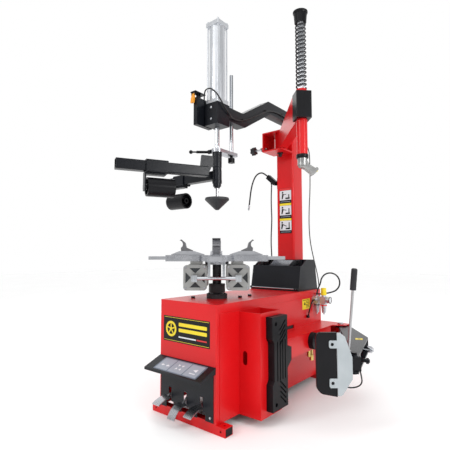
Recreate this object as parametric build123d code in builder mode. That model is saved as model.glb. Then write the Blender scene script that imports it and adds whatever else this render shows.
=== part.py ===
"""Swing-arm tire changer with a pneumatic helper arm and a side bead breaker.

Millimetres. X points to the bead breaker's side, Y to the column, Z up.
The origin is on the floor, at the centre of the four anchor holes in the foot rails.
"""

import math
import os

from build123d import *

os.makedirs("parts", exist_ok=True)

# ---------------------------------------------------------------- driving dimensions
cabinet_width = 360
cabinet_length = 1000
cabinet_top = 540
sheet = 4
panel_thickness = 2
rail_height = 37
rail_depth = 50
rail_length = 460
anchor_hole_radius = 6
anchor_spacing_x = 410

table_y = -288
table_top = 755
table_bottom = 724
table_turn = -50
table_arm_reach = 255
table_arm_width = 84

column_y = 446
column_side = 124
column_top = 1560

swing_pivot_y = 332
swing_length = 490
swing_angle = -45.3
head_low = 1409
head_high = 1532

arm_height = 74
arm_width = 60
arm_low_top = 1535
arm_high_top = 1685
block_low = 1421
block_half_x = 43.5
block_front_y = -336
block_rear_y = -240

plate_low = 1283
plate_high = 1301
guide_rod_y = -170
guide_rod_radius = 10.5
piston_rod_radius = 12

breaker_y = 140
breaker_z = 300
breaker_pivot = (325, 460)
running_clearance = 0.05

half_width = cabinet_width / 2
half_length = cabinet_length / 2
panel_face = half_width + panel_thickness
STAND = (Align.CENTER, Align.CENTER, Align.MIN)

pieces = {}
stop_screw_place = (272, 1433)


# ---------------------------------------------------------------- shared helpers
def block(low, high, mode=Mode.ADD):
    """A box between two opposite corners."""
    centre = [(a + b) / 2 for a, b in zip(low, high)]
    with Locations(tuple(centre)):
        Box(high[0] - low[0], high[1] - low[1], high[2] - low[2], mode=mode)


def pillar(x, y, low, high, radius, mode=Mode.ADD, top_radius=None):
    """An upright round post, tapered when a second radius is given."""
    with Locations((x, y, low)):
        if top_radius is None:
            Cylinder(radius, high - low, align=STAND, mode=mode)
        else:
            Cone(radius, top_radius, high - low, align=STAND, mode=mode)


def round_bar(start, end, radius, mode=Mode.ADD):
    """A round bar between two points."""
    direction = Vector(*end) - Vector(*start)
    with Locations(Plane(origin=start, z_dir=direction).location):
        Cylinder(radius, direction.length, align=STAND, mode=mode)


def hexagon_bar(start, end, radius, mode=Mode.ADD):
    """A six-sided bar between two points; the radius is to its corners."""
    direction = Vector(*end) - Vector(*start)
    with BuildSketch(Plane(origin=start, z_dir=direction)) as profile:
        RegularPolygon(radius, 6)
    extrude(profile.sketch, amount=direction.length, mode=mode)


def turned(angle, x=0.0, y=0.0, z=0.0):
    """A level plane at a point, with its x direction turned by an angle."""
    turn = math.radians(angle)
    return Plane(origin=(x, y, z), x_dir=(math.cos(turn), math.sin(turn), 0), z_dir=(0, 0, 1))


def upright(angle, x=0.0, y=0.0):
    """The upright plane through a point that holds a level direction: (distance, height)."""
    turn = math.radians(angle)
    direction = (math.cos(turn), math.sin(turn), 0)
    return Plane(origin=(x, y, 0), x_dir=direction, z_dir=(math.sin(turn), -math.cos(turn), 0))


def outline(points):
    """A filled polygon through the points, in the open sketch."""
    Polygon(*points, align=None)


def star_knob(start, end, radius, lobes=6):
    """A lobed hand knob along an axis."""
    direction = Vector(*end) - Vector(*start)
    with BuildSketch(Plane(origin=start, z_dir=direction)) as profile:
        Circle(radius * 0.78)
        with PolarLocations(radius * 0.76, lobes):
            Circle(radius * 0.24)
    extrude(profile.sketch, amount=direction.length)


# ---------------------------------------------------------------- cabinet
def make_cabinet_shell():
    with BuildPart() as shell:
        with BuildSketch(Plane.XY.offset(rail_height)):
            RectangleRounded(cabinet_width, cabinet_length, 5)
        extrude(amount=cabinet_top - rail_height)
        block((-half_width + sheet, -half_length + sheet, rail_height - 1),
              (half_width - sheet, half_length - sheet, cabinet_top - sheet), Mode.SUBTRACT)
        block((-160, -half_length - 1, rail_height + 8), (156, -half_length + sheet + 1, 250), Mode.SUBTRACT)
        pillar(0, table_y, cabinet_top - 10, cabinet_top + 1, 30, Mode.SUBTRACT)
        block((half_width - 5, 55, 347), (half_width + 1, 163, 367), Mode.SUBTRACT)
        round_bar((half_width - 10, breaker_y, breaker_z), (half_width + 1, breaker_y, breaker_z), 32, Mode.SUBTRACT)
        block((-half_width - 1, -380, 80), (-half_width + 5, 380, 440), Mode.SUBTRACT)
        for x in (-70, 70):
            for z in (410, 505):
                round_bar((x, half_length - 5, z), (x, half_length + 1, z), 6.2, Mode.SUBTRACT)
    pieces["cabinet_shell"] = shell


def make_side_panels():
    with BuildPart() as panels:
        block((half_width, -478, 40), (panel_face, 498, 500))
        block((half_width - 1, 55, 347), (panel_face + 1, 163, 367), Mode.SUBTRACT)
        round_bar((half_width - 1, breaker_y, breaker_z), (panel_face + 1, breaker_y, breaker_z), 32, Mode.SUBTRACT)
        block((-panel_face, -478, 40), (-half_width, 498, 500))
    pieces["side_panels"] = panels


def make_foot_rails():
    """Two square tubes across the bottom; each end has an anchor hole."""
    wall = 3
    with BuildPart() as rails:
        for side in (-1, 1):
            y = side * (half_length - rail_depth / 2)
            half = rail_depth / 2
            block((-rail_length / 2, y - half, 0), (rail_length / 2, y + half, rail_height))
            block((-rail_length / 2 - 1, y - half + wall, wall),
                  (rail_length / 2 + 1, y + half - wall, rail_height - wall), Mode.SUBTRACT)
            for x in (-anchor_spacing_x / 2, anchor_spacing_x / 2):
                pillar(x, y, -1, rail_height + 1, anchor_hole_radius, Mode.SUBTRACT)
                outer = y + side * half
                round_bar((x, outer - side * 5, rail_height / 2), (x, outer + side, rail_height / 2), 5, Mode.SUBTRACT)
    pieces["foot_rails"] = rails


def make_front_cover():
    """The black sheet below the hood, slotted for the three pedal arms."""
    with BuildPart() as cover:
        block((-170, -half_length - 2, 42), (166, -half_length, 272))
        for x in pedal_places:
            block((x - 9, -half_length - 3, 60), (x + 9, -half_length + 1, 138), Mode.SUBTRACT)
            block((x - 24, -half_length - 3, 41), (x + 24, -half_length + 1, 74), Mode.SUBTRACT)
    pieces["front_cover"] = cover


def make_pedal_hood():
    """The sloping console over the pedals, a folded sheet with closed ends."""
    front = -half_length
    profile = [(front, 276), (front - 98, 238), (front - 98, 227), (front - 2, 248)]
    hollow = [(front + 1, 271.5), (front - 94, 234.6), (front - 94, 220), (front + 1, 240)]
    with BuildPart() as hood:
        with BuildSketch(Plane.YZ):
            outline(profile)
        extrude(amount=178, both=True)
        with BuildSketch(Plane.YZ):
            outline(hollow)
        extrude(amount=175, both=True, mode=Mode.SUBTRACT)
        block((-172.2, front - 2.2, 200), (166.2, front + 1, 272.2), Mode.SUBTRACT)
    pieces["pedal_hood"] = hood


# ---------------------------------------------------------------- pedals
pedal_places = (-105, -5, 95)
pedal_names = ("pedal_left", "pedal_middle", "pedal_right")
pedal_drops = (0, 26, 4)
pedal_pivot_y = -420
pedal_pivot_z = 104


def make_pedal(name, x, drop):
    """A lever on the cross shaft with a wide tread bent down at its tip."""
    front = -half_length
    tread_top = 100 - drop * 0.5
    arm = [(pedal_pivot_y + 12, pedal_pivot_z - 12), (pedal_pivot_y + 12, pedal_pivot_z + 12),
           (front + 10, pedal_pivot_z + 10), (front - 22, tread_top), (front - 22, tread_top - 14),
           (front + 10, pedal_pivot_z - 16)]
    with BuildPart() as pedal:
        with BuildSketch(Plane.YZ.offset(x - 4)):
            outline(arm)
        extrude(amount=8)
        with BuildSketch(Plane.YZ.offset(x - 23)):
            with BuildLine():
                top = Spline((front - 12, tread_top + 2), (front - 45, tread_top - 1), (front - 90, tread_top - 18 - drop))
                bottom = Spline((front - 12, tread_top - 2), (front - 45, tread_top - 5),
                                (front - 88, tread_top - 22 - drop))
                Line(top @ 0, bottom @ 0)
                Line(top @ 1, bottom @ 1)
            make_face()
        extrude(amount=46)
        round_bar((x - 5, pedal_pivot_y, pedal_pivot_z), (x + 5, pedal_pivot_y, pedal_pivot_z), 7 + running_clearance,
                  Mode.SUBTRACT)
    pieces[name] = pedal


# ---------------------------------------------------------------- right side of the cabinet
pad_front_y = -340
pad_rear_y = -168
pad_face_x = 300


def make_pad_bracket():
    """The open folded box that carries the rubber pad."""
    with BuildPart() as bracket:
        block((panel_face, pad_front_y, rail_height), (pad_face_x, pad_rear_y, 496))
        block((panel_face - 1, pad_front_y + sheet, rail_height - 1), (pad_face_x - sheet, pad_rear_y - sheet, 497),
              Mode.SUBTRACT)
        block((panel_face, pad_front_y + sheet, 440), (panel_face + 20, pad_rear_y - sheet, 497), Mode.SUBTRACT)
        with BuildSketch(Plane(origin=(214, pad_front_y - 1, 290), x_dir=(1, 0, 0), z_dir=(0, 1, 0))):
            SlotOverall(62, 25, rotation=90)
        extrude(amount=sheet + 2, mode=Mode.SUBTRACT)
    pieces["pad_bracket"] = bracket


def make_rubber_pads():
    """The long tire pad with its side block, and the round stop of the bead breaker."""
    low, high = 65, 477
    thickness = 34
    front, rear = pad_front_y + 43, pad_rear_y
    waist = [(front, low), (front, 178), (front + 15, 196), (front + 15, 362), (front, 380), (front, high),
             (rear, high), (rear, 335), (rear + 36, 322), (rear + 36, 262), (rear, 232), (rear, low)]
    with BuildPart() as pads:
        with BuildSketch(Plane.YZ.offset(pad_face_x)):
            outline(waist)
        extrude(amount=thickness)
        outer = pad_face_x + thickness
        for edge_y in (front + 38, front + 60, front + 82, front + 104):
            block((outer - 7, edge_y, 190), (outer + 1, edge_y + 7, 366), Mode.SUBTRACT)
        for z in (low + 26, high - 32):
            round_bar((outer - 12, front + 30, z), (outer + 1, front + 30, z), 9, Mode.SUBTRACT)
        for step in range(4):
            for z, tilt in ((low + 36 + step * 22, -40), (high - 108 + step * 22, 40)):
                with Locations(Location((outer - 2, front + 86, z), (tilt, 0, 0))):
                    Box(8, 66, 7, mode=Mode.SUBTRACT)
        face = side_box_outer
        round_bar((face, breaker_y, breaker_z), (face + 28, breaker_y, breaker_z), 43.5)
        round_bar((face - 1, breaker_y, breaker_z), (face + 29, breaker_y, breaker_z), 12, Mode.SUBTRACT)
    pieces["rubber_pads"] = pads


side_box_outer = 300
side_box_low = 250
side_box_high = 345


def make_side_box():
    """The long shelf along the cabinet; its open rear end holds the breaker arm's pivot."""
    housing = [(side_box_outer, 400), (363, 440), (363, 505), (panel_face, 505)]
    with BuildPart() as box:
        with BuildSketch(Plane.XY.offset(side_box_high - sheet)):
            outline([(panel_face, pad_rear_y), (side_box_outer, pad_rear_y), *housing])
        extrude(amount=sheet)
        with BuildSketch(Plane.XY.offset(side_box_low)):
            outline([(panel_face, 340), (side_box_outer, 340), *housing])
        extrude(amount=sheet)
        block((side_box_outer - sheet, pad_rear_y, side_box_low), (side_box_outer, 380, side_box_high))
        block((panel_face, pad_rear_y, side_box_low), (side_box_outer, pad_rear_y + sheet, side_box_high))
        block((panel_face, 501, side_box_low), (363, 505, side_box_high))
        block((panel_face, 340, side_box_low), (panel_face + sheet, 505, side_box_high))
        round_bar((side_box_outer - 5, breaker_y, breaker_z), (side_box_outer + 1, breaker_y, breaker_z), 12.5,
                  Mode.SUBTRACT)
        for z in (side_box_low - 1, side_box_high - 5):
            pillar(*breaker_pivot, z, z + 6, 11, Mode.SUBTRACT)
        for y in (-60, 30, 220, 330):
            pillar(215, y, side_box_high - 5, side_box_high + 1, 4, Mode.SUBTRACT)
    pieces["side_box"] = box


def make_silencers():
    """The brass silencer and the drain fitting under the side box."""
    with BuildPart() as silencer:
        block((284, 120, 246), (side_box_outer - sheet, 136, 264))
        pillar(288, 128, 216, 246, 9)
        for z in range(219, 244, 5):
            pillar(288, 128, z, z + 2.5, 10.5)
    pieces["silencer"] = silencer
    with BuildPart() as drain:
        block((284, 146, 222), (side_box_outer - sheet, 160, 264))
        pillar(290, 153, 194, 222, 11)
    pieces["drain_fitting"] = drain


def make_labels():
    """The blank name plate, the warning panel strip on the column and the yellow panel on the side."""
    with BuildPart() as plate:
        block((-156, -half_length - 1.5, 348), (144, -half_length, 466))
    pieces["name_plate"] = plate
    with BuildPart() as decal:
        front = column_y - column_side / 2
        block((-40, front - 0.6, 892), (48, front, 1186))
        block((panel_face, 261, 437), (panel_face + 0.6, 354, 496))
    pieces["panels"] = decal


def make_foot_caps():
    with BuildPart() as caps:
        for side in (-1, 1):
            y = side * (half_length - rail_depth / 2)
            for end in (-1, 1):
                inner = end * (rail_length / 2 - 8)
                outer = end * (rail_length / 2 + 1)
                block((min(inner, outer), y - 21.8, 3.2), (max(inner, outer), y + 21.8, rail_height - 3.2))
    pieces["foot_caps"] = caps


def make_tool_tray():
    """The open tray round the column, its walls leaning in and its rear higher than its front."""
    low = cabinet_top
    left, right = -182, 160
    wall = 3
    notch = column_side / 2 + 4
    notch_front = column_y - column_side / 2 - 6
    profile = [(256, low), (285, 689), (300, 689), (357, 725), (467, 725), (500, low)]
    front_foot, front_head = (259.6, low + wall), (295.2, 726)
    rear_foot, rear_head = (496.5, low + wall), (463.8, 726)
    with BuildPart() as tray:
        with BuildSketch(Plane.YZ.offset(left)):
            outline(profile)
        extrude(amount=right - left)
        for start, end in ((left + wall, -notch - wall), (notch + wall, right - wall)):
            with BuildSketch(Plane.YZ.offset(start)):
                outline([front_foot, front_head, rear_head, rear_foot])
            extrude(amount=end - start, mode=Mode.SUBTRACT)
        with BuildSketch(Plane.YZ.offset(-notch - wall)):
            outline([front_foot, front_head, (notch_front - wall, 726), (notch_front - wall, low + wall)])
        extrude(amount=2 * (notch + wall), mode=Mode.SUBTRACT)
        block((-notch, notch_front, low - 1), (notch, 501, 727), Mode.SUBTRACT)
    pieces["tool_tray"] = tray


# ---------------------------------------------------------------- column
def make_column():
    """The square tube, its rear mounting plate and the channel that holds the swing arm's pin."""
    half = column_side / 2
    front, rear = column_y - half, column_y + half
    head_left, head_right, head_front = -82, 60, 250
    screw_y, screw_z = stop_screw_place
    with BuildPart() as column:
        with BuildSketch(Plane.XY.offset(cabinet_top)):
            with Locations((0, column_y)):
                RectangleRounded(column_side, column_side, 12)
        extrude(amount=column_top - cabinet_top)
        with BuildSketch(Plane.XY.offset(cabinet_top - 1)):
            with Locations((0, column_y)):
                RectangleRounded(column_side - 10, column_side - 10, 8)
        extrude(amount=column_top - cabinet_top - 7, mode=Mode.SUBTRACT)
        block((-90, half_length + 0.2, 380), (90, rear, 600))
        for x in (-70, 70):
            for z in (410, 505):
                round_bar((x, rear - 12, z), (x, rear + 1, z), 6.2, Mode.SUBTRACT)
        block((head_left, head_front, head_low), (head_right, front + 3, head_low + 8))
        block((head_left, head_front, head_high - 8), (head_right, front + 3, head_high))
        block((head_left, head_front, head_low), (head_left + 8, front + 3, head_high))
        pillar(0, swing_pivot_y, head_low - 1, head_high + 1, 12, Mode.SUBTRACT)
        round_bar((head_left - 10, screw_y, screw_z), (head_left + 4, screw_y, screw_z), 11)
        round_bar((head_left - 11, screw_y, screw_z), (head_left + 9, screw_y, screw_z),
                  7 + running_clearance, Mode.SUBTRACT)
        pillar(0, column_y, column_top - 9, column_top + 1, 16, Mode.SUBTRACT)
    pieces["column"] = column


# ---------------------------------------------------------------- turntable
def table_plane(z=0.0):
    return turned(table_turn, 0, table_y, z)


slide_width = 52
slide_low = 732
slide_high = 749


def make_turntable():
    """A cross of four channel arms, each open on top for its jaw."""
    reach = table_arm_reach
    with BuildPart() as table:
        with BuildSketch(table_plane(table_bottom)):
            Rectangle(2 * reach, table_arm_width)
            Rectangle(table_arm_width, 2 * reach)
            Circle(96)
        extrude(amount=table_top - table_bottom)
        channel = slide_width + 0.4
        with BuildSketch(table_plane(slide_low - 0.3)):
            Rectangle(2 * reach + 2, channel)
            Rectangle(channel, 2 * reach + 2)
        extrude(amount=slide_high - slide_low + 0.6, mode=Mode.SUBTRACT)
        slot = 30
        with BuildSketch(table_plane(slide_high)):
            with PolarLocations((reach + 42) / 2, 4):
                Rectangle(reach - 40, slot)
        extrude(amount=table_top - slide_high + 1, mode=Mode.SUBTRACT)
        with BuildSketch(table_plane(table_bottom - 16)):
            Circle(60)
        extrude(amount=16)
        with BuildSketch(table_plane(table_bottom - 17)):
            Circle(20)
        extrude(amount=24, mode=Mode.SUBTRACT)
    pieces["turntable"] = table


def make_jaw(name, quarter):
    """A slide bar, its ramp plate and the hooked clamp that grips the rim."""
    angle = table_turn + 90 * quarter
    with BuildPart() as jaw:
        with BuildSketch(turned(angle, 0, table_y, slide_low)):
            with Locations(((80 + 342) / 2, 0)):
                Rectangle(342 - 80, slide_width)
        extrude(amount=slide_high - slide_low)
        with BuildSketch(turned(angle, 0, table_y, slide_high)):
            with Locations(((92 + 226) / 2, 0)):
                Rectangle(226 - 92, 29)
        extrude(amount=table_top + 0.6 - slide_high)
        with BuildSketch(upright(angle, 0, table_y)):
            outline([(64, table_top + 0.6), (228, table_top + 0.6), (230, table_top + 3), (188, table_top + 20),
                     (112, table_top + 20), (64, table_top + 4)])
        extrude(amount=27, both=True)
        with BuildSketch(upright(angle, 0, table_y)):
            with BuildLine():
                Polyline((122, table_top + 20), (180, table_top + 20), (182, table_top + 36), (174, table_top + 44))
                ThreePointArc((174, table_top + 44), (172, table_top + 58), (188, table_top + 74))
                Polyline((188, table_top + 74), (180, table_top + 79), (160, table_top + 62), (154, table_top + 38),
                         (122, table_top + 24), (122, table_top + 20))
            make_face()
        extrude(amount=19, both=True)
    pieces[name] = jaw


cylinder_axis_z = 648
cylinder_side = 102


def make_chuck_unit():
    """The rotary valve on its spindle and the two square-capped chuck cylinders."""
    with BuildPart() as unit:
        pillar(0, table_y, 470, table_bottom - 17, 19.9)
        pillar(0, table_y, 612, table_bottom - 16.5, 22)
        pillar(0, table_y, 568, 612, 41)
        for side in (-1, 1):
            with BuildSketch(table_plane(table_bottom - 27)):
                with Locations((0, side * cylinder_side)):
                    Rectangle(76, 60)
            extrude(amount=27)
            start = table_plane(cylinder_axis_z).from_local_coords(Vector(-118, side * cylinder_side, 0))
            end = table_plane(cylinder_axis_z).from_local_coords(Vector(118, side * cylinder_side, 0))
            round_bar(tuple(start), tuple(end), 52)
            for cap_x in (-120, 96):
                cap_plane = Plane(origin=tuple(table_plane(cylinder_axis_z).from_local_coords(
                    Vector(cap_x, side * cylinder_side, 0))), x_dir=(0, 0, 1), z_dir=table_plane().x_dir)
                with BuildSketch(cap_plane):
                    RectangleRounded(120, 112, 16)
                extrude(amount=24)
                recess = cap_plane.offset(18 if cap_x > 0 else -1)
                with BuildSketch(recess):
                    for quarter in range(4):
                        with Locations(Location((0, 0, 0), (0, 0, 90 * quarter))):
                            outline([(19, 0), (46, 27), (46, -27)])
                extrude(amount=7, mode=Mode.SUBTRACT)
            round_bar(tuple(table_plane(cylinder_axis_z).from_local_coords(Vector(95, side * cylinder_side, 0))),
                      tuple(table_plane(cylinder_axis_z).from_local_coords(Vector(125, side * cylinder_side, 0))), 17)
            round_bar(tuple(table_plane(cylinder_axis_z).from_local_coords(Vector(-42, side * cylinder_side, 0))),
                      tuple(table_plane(cylinder_axis_z).from_local_coords(Vector(126, side * cylinder_side, 0))),
                      9 + running_clearance, Mode.SUBTRACT)
    pieces["chuck_unit"] = unit


def make_chuck_yoke():
    """The cross rod that joins both piston rods, with its two upright links."""
    base = table_plane(cylinder_axis_z)
    cross_x = 170
    with BuildPart() as yoke:
        round_bar(tuple(base.from_local_coords(Vector(cross_x, -112, 0))),
                  tuple(base.from_local_coords(Vector(cross_x, 112, 0))), 8)
        for side in (-1, 1):
            round_bar(tuple(base.from_local_coords(Vector(-6, side * cylinder_side, 0))),
                      tuple(base.from_local_coords(Vector(cross_x + 12, side * cylinder_side, 0))), 9)
            with BuildSketch(table_plane(cylinder_axis_z - 8)):
                with Locations((cross_x, side * 34)):
                    Rectangle(7, 12)
            extrude(amount=table_bottom - 2 - cylinder_axis_z + 8)
            with BuildSketch(table_plane(cylinder_axis_z - 15)):
                with Locations((cross_x, side * cylinder_side)):
                    Rectangle(26, 28)
            extrude(amount=30)
    pieces["chuck_yoke"] = yoke


# ---------------------------------------------------------------- inside the cabinet
motor_y = -110
motor_z = 330


def make_drive_unit():
    """The worm gearbox with its top flange, and the motor on its hanger."""
    flange_high = 562
    with BuildPart() as drive:
        block((-100, -390, 526), (100, -186, cabinet_top - sheet))
        block((-85, -352, 402), (85, -196, 526))
        pillar(0, table_y, 526, flange_high, 29.5)
        pillar(0, table_y, cabinet_top, flange_high, 52)
        pillar(0, table_y, 460, flange_high + 1, 19.9 + running_clearance, Mode.SUBTRACT)
        block((-80, -150, 526), (95, -70, cabinet_top - sheet))
        for x in (-60, 50):
            block((x, -150, motor_z), (x + 10, -70, 527))
        round_bar((-120, motor_y, motor_z), (110, motor_y, motor_z), 62)
        round_bar((-150, motor_y, motor_z), (-120, motor_y, motor_z), 40)
        block((-150, -250, motor_z - 30), (-122, motor_y, motor_z + 30))
        block((-150, -260, motor_z - 30), (-122, -200, 450))
        block((-150, -260, 410), (-80, -200, 450))
    pieces["drive_unit"] = drive


def make_breaker_cylinder():
    """The wide short cylinder across the cabinet, with its end plates and a wall bracket."""
    left, right = -150, 168
    with BuildPart() as cylinder:
        round_bar((left, breaker_y, breaker_z), (right, breaker_y, breaker_z), 93)
        round_bar((left + 12, breaker_y, breaker_z), (right - 12, breaker_y, breaker_z), 89, Mode.SUBTRACT)
        round_bar((right - 14, breaker_y, breaker_z), (half_width + 1, breaker_y, breaker_z), 26)
        round_bar((right - 20, breaker_y, breaker_z), (half_width + 2, breaker_y, breaker_z),
                  11 + running_clearance, Mode.SUBTRACT)
        block((right - 26, 60, 349), (half_width - sheet - 0.5, 158, 404))
        block((right - 27, 66, 356), (half_width - sheet - 3, 152, 405), Mode.SUBTRACT)
    pieces["breaker_cylinder"] = cylinder


def make_base_fasteners():
    """Bolts of the cabinet, pins of the swing arm, helper arm and breaker arm, and the pedal shaft."""
    half = column_side / 2
    with BuildPart() as group:
        for x, y in ((-89, -368), (79, -200), (75, -112)):
            pillar(x, y, cabinet_top, cabinet_top + 9, 10)
        for x in (-36, 36):
            for y in (table_y - 20, table_y + 20):
                pillar(x, y, 562, 566, 5)
        for x in (-70, 70):
            for z in (410, 505):
                round_bar((x, column_y + half, z), (x, column_y + half + 9, z), 11)
                round_bar((x, half_length - 12, z), (x, column_y + half + 1, z), 6)
        pillar(0, swing_pivot_y, head_low - 24, head_high + 6, 12 - running_clearance)
        pillar(0, swing_pivot_y, head_low - 5, head_low, 19)
        pillar(0, swing_pivot_y, head_high, head_high + 8, 20)
        pillar(0, column_y, column_top - 8, arm_high_top + 6, 16 - running_clearance)
        pillar(0, column_y, column_top, arm_high_top - arm_height - 0.5, 44)
        pillar(0, column_y, arm_high_top + 0.5, arm_high_top + 12, 24)
        pillar(*breaker_pivot, side_box_low - 12, side_box_high + 8, 11 - running_clearance)
        pillar(*breaker_pivot, side_box_high, side_box_high + 8, 17)
        pillar(*breaker_pivot, side_box_low - 12, side_box_low, 17)
        round_bar((-half_width + sheet + 0.3, pedal_pivot_y, pedal_pivot_z),
                  (half_width - sheet - 0.3, pedal_pivot_y, pedal_pivot_z), 7)
        round_bar((150, -half_length - 7, 62), (150, -half_length - 2, 62), 5)
        round_bar((-150, -half_length - 7, 250), (-150, -half_length - 2, 250), 4)
    pieces["base_fasteners"] = group


# ---------------------------------------------------------------- air service unit
frl_y = 400
frl_places = (205, 250)
frl_z = 487


def make_frl_unit():
    """Two heads in a row with their bowls, a dial gauge, a wall bracket and a bent outlet pipe."""
    first, second = frl_places
    with BuildPart() as unit:
        for x in frl_places:
            block((x - 18, frl_y - 20, frl_z - 22), (x + 18, frl_y + 20, frl_z + 18))
            pillar(x, frl_y, frl_z - 30, frl_z - 22, 17)
        round_bar((first, frl_y, frl_z), (second + 24, frl_y, frl_z), 10)
        round_bar((second + 24, frl_y, frl_z), (second + 40, frl_y, frl_z), 19)
        block((panel_face, frl_y - 20, frl_z + 4), (first, frl_y + 20, frl_z + 10))
        block((panel_face, frl_y - 22, frl_z - 22), (panel_face + 4, frl_y + 22, frl_z + 12))
        pillar(second, frl_y, frl_z + 18, frl_z + 28, 13)
        pillar(first, frl_y, frl_z + 18, frl_z + 26, 9)
        round_bar((first, frl_y - 34, frl_z), (first, frl_y - 20, frl_z), 8)
    pieces["frl_unit"] = unit


def make_frl_bowls():
    """The clear bowls under both heads, each with its drain nipple."""
    with BuildPart() as bowls:
        for x in frl_places:
            pillar(x, frl_y, frl_z - 76, frl_z - 30.2, 12, top_radius=16)
            pillar(x, frl_y, frl_z - 86, frl_z - 76, 4)
    pieces["frl_bowls"] = bowls


def make_regulator_knob():
    x = frl_places[1]
    with BuildPart() as knob:
        pillar(x, frl_y, frl_z + 28.3, frl_z + 70, 17, top_radius=15)
        with BuildSketch(Plane.XY.offset(frl_z + 32)):
            with Locations((x, frl_y)):
                with PolarLocations(17.2, 12):
                    Circle(1.6)
        extrude(amount=30, mode=Mode.SUBTRACT)
    pieces["regulator_knob"] = knob


def make_hose_block():
    """The tilted connector block on the column's left side and its bracket."""
    with BuildPart() as connector:
        block((-column_side / 2 - 4, 396, 1190), (-column_side / 2, 436, 1262))
        with Locations(Location((-86, 404, 1234), (0, 45, 0))):
            Box(44, 20, 12)
        with Locations(Location((-102, 390, 1252), (0, 42, 0))):
            Box(78, 30, 30)
        round_bar((-104, 390, 1226), (-104, 390, 1240), 7)
    pieces["hose_block"] = connector


# ---------------------------------------------------------------- swing arm and mount head
swing_turn = math.radians(swing_angle)
shaft_x = swing_length * math.cos(swing_turn)
shaft_y = swing_pivot_y + swing_length * math.sin(swing_turn)
tube_radius = 28
hexagon_radius = 18.4
spring_low = 1613.4
spring_high = 1977
cap_high = 2038
cap_socket_high = cap_high - 10
cap_groove_count = 20


def make_swing_arm():
    """The rising box arm, its pivot barrel and the guide tube at its end."""
    side = upright(swing_angle, 0, swing_pivot_y)
    low, high = head_low + 9, head_high - 9
    end = swing_length - 24
    with BuildPart() as arm:
        pillar(0, swing_pivot_y, low, high, 32)
        with BuildSketch(side):
            outline([(0, low), (125, low), (end, 1447), (end, 1606), (end - 46, 1606), (128, high), (0, high)])
        extrude(amount=28, both=True)
        with BuildSketch(side):
            outline([(38, low + 5), (125, low + 5), (end - 30, 1450), (end - 30, 1600), (end - 46, 1600),
                     (130, high - 5), (38, high - 5)])
        extrude(amount=23, both=True, mode=Mode.SUBTRACT)
        with BuildSketch(side):
            outline([(end - 32, 1449), (end - 32, 1420), (end, 1300), (end, 1449)])
        extrude(amount=5, both=True)
        pillar(0, swing_pivot_y, low - 1, high + 1, 12 + running_clearance, Mode.SUBTRACT)
        pillar(shaft_x, shaft_y, 1258, 1613, tube_radius)
        pillar(shaft_x, shaft_y, 1257, 1614, 19.5, Mode.SUBTRACT)
    pieces["swing_arm"] = arm


def make_lock_box():
    """The black cover round the guide tube that holds the shaft's lock."""
    with BuildPart() as box:
        with BuildSketch(turned(swing_angle, shaft_x, shaft_y, 1453)):
            with Locations((6, 0)):
                RectangleRounded(84, 80, 5)
        extrude(amount=139)
        pillar(shaft_x, shaft_y, 1452, 1593, tube_radius + 0.1, Mode.SUBTRACT)
        with BuildSketch(turned(swing_angle, shaft_x, shaft_y, 1452)):
            with Locations((-42, 0)):
                Rectangle(44, 56.6)
        extrude(amount=141, mode=Mode.SUBTRACT)
    pieces["lock_box"] = box


def make_hex_shaft():
    with BuildPart() as shaft:
        hexagon_bar((shaft_x, shaft_y, 1222), (shaft_x, shaft_y, cap_socket_high), hexagon_radius)
    pieces["hex_shaft"] = shaft


def make_hex_spring():
    """A return coil of round wire between the guide tube and the cap."""
    wire = 4
    turns = 15.5
    height = spring_high - spring_low - 2 * wire
    with BuildPart() as spring:
        with BuildLine(Plane(origin=(shaft_x, shaft_y, spring_low + wire))) as coil:
            Helix(pitch=height / turns, height=height, radius=25)
        coil_wire = coil.wires()[0]
        with BuildSketch(Plane(origin=coil_wire @ 0, z_dir=coil_wire % 0)):
            Circle(wire)
        sweep(path=coil_wire, is_frenet=True)
    pieces["hex_spring"] = spring


def make_shaft_cap():
    """The ribbed grip that widens to a flat top and holds the spring down."""
    flare_high = cap_high - 16
    with BuildPart() as cap:
        pillar(shaft_x, shaft_y, spring_high, flare_high, 31, top_radius=35)
        pillar(shaft_x, shaft_y, flare_high, cap_high - 8, 35, top_radius=39)
        pillar(shaft_x, shaft_y, cap_high - 8, cap_high - 2, 39)
        pillar(shaft_x, shaft_y, cap_high - 2, cap_high, 39, top_radius=36)
        hexagon_bar((shaft_x, shaft_y, spring_high - 1), (shaft_x, shaft_y, cap_socket_high), hexagon_radius,
                    Mode.SUBTRACT)
        for step in range(cap_groove_count):
            turn = 2 * math.pi * step / cap_groove_count
            groove_x = shaft_x + 36 * math.cos(turn)
            groove_y = shaft_y + 36 * math.sin(turn)
            pillar(groove_x, groove_y, spring_high + 6, flare_high, 2.4, Mode.SUBTRACT)
    pieces["shaft_cap"] = cap


def make_mount_head():
    """The duck-bill head: a clamp collar and a bill that curves out and down to its hook."""
    side = upright(view_right, shaft_x, shaft_y)
    with BuildPart() as head:
        pillar(shaft_x, shaft_y, 1212, 1256, 25)
        with BuildSketch(side):
            with BuildLine():
                Polyline((-20, 1222), (-16, 1206), (10, 1196), (34, 1176), (46, 1160), (62, 1170), (78, 1190))
                ThreePointArc((78, 1190), (74, 1200), (62, 1197))
                Polyline((62, 1197), (36, 1214), (20, 1236), (-10, 1236), (-20, 1222))
            make_face()
        extrude(amount=19, both=True)
        hexagon_bar((shaft_x, shaft_y, 1222), (shaft_x, shaft_y, 1257), hexagon_radius, Mode.SUBTRACT)
    pieces["mount_head"] = head


view_right = 39.7


def make_stop_screw():
    """The threaded stop of the swing arm with its lobed hand knob."""
    y, z = stop_screw_place
    with BuildPart() as screw:
        round_bar((-150, y, z), (-60, y, z), 7)
        round_bar((-106, y, z), (-98, y, z), 13)
        star_knob((-176, y, z), (-150, y, z), 27)
    pieces["stop_screw"] = screw


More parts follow.
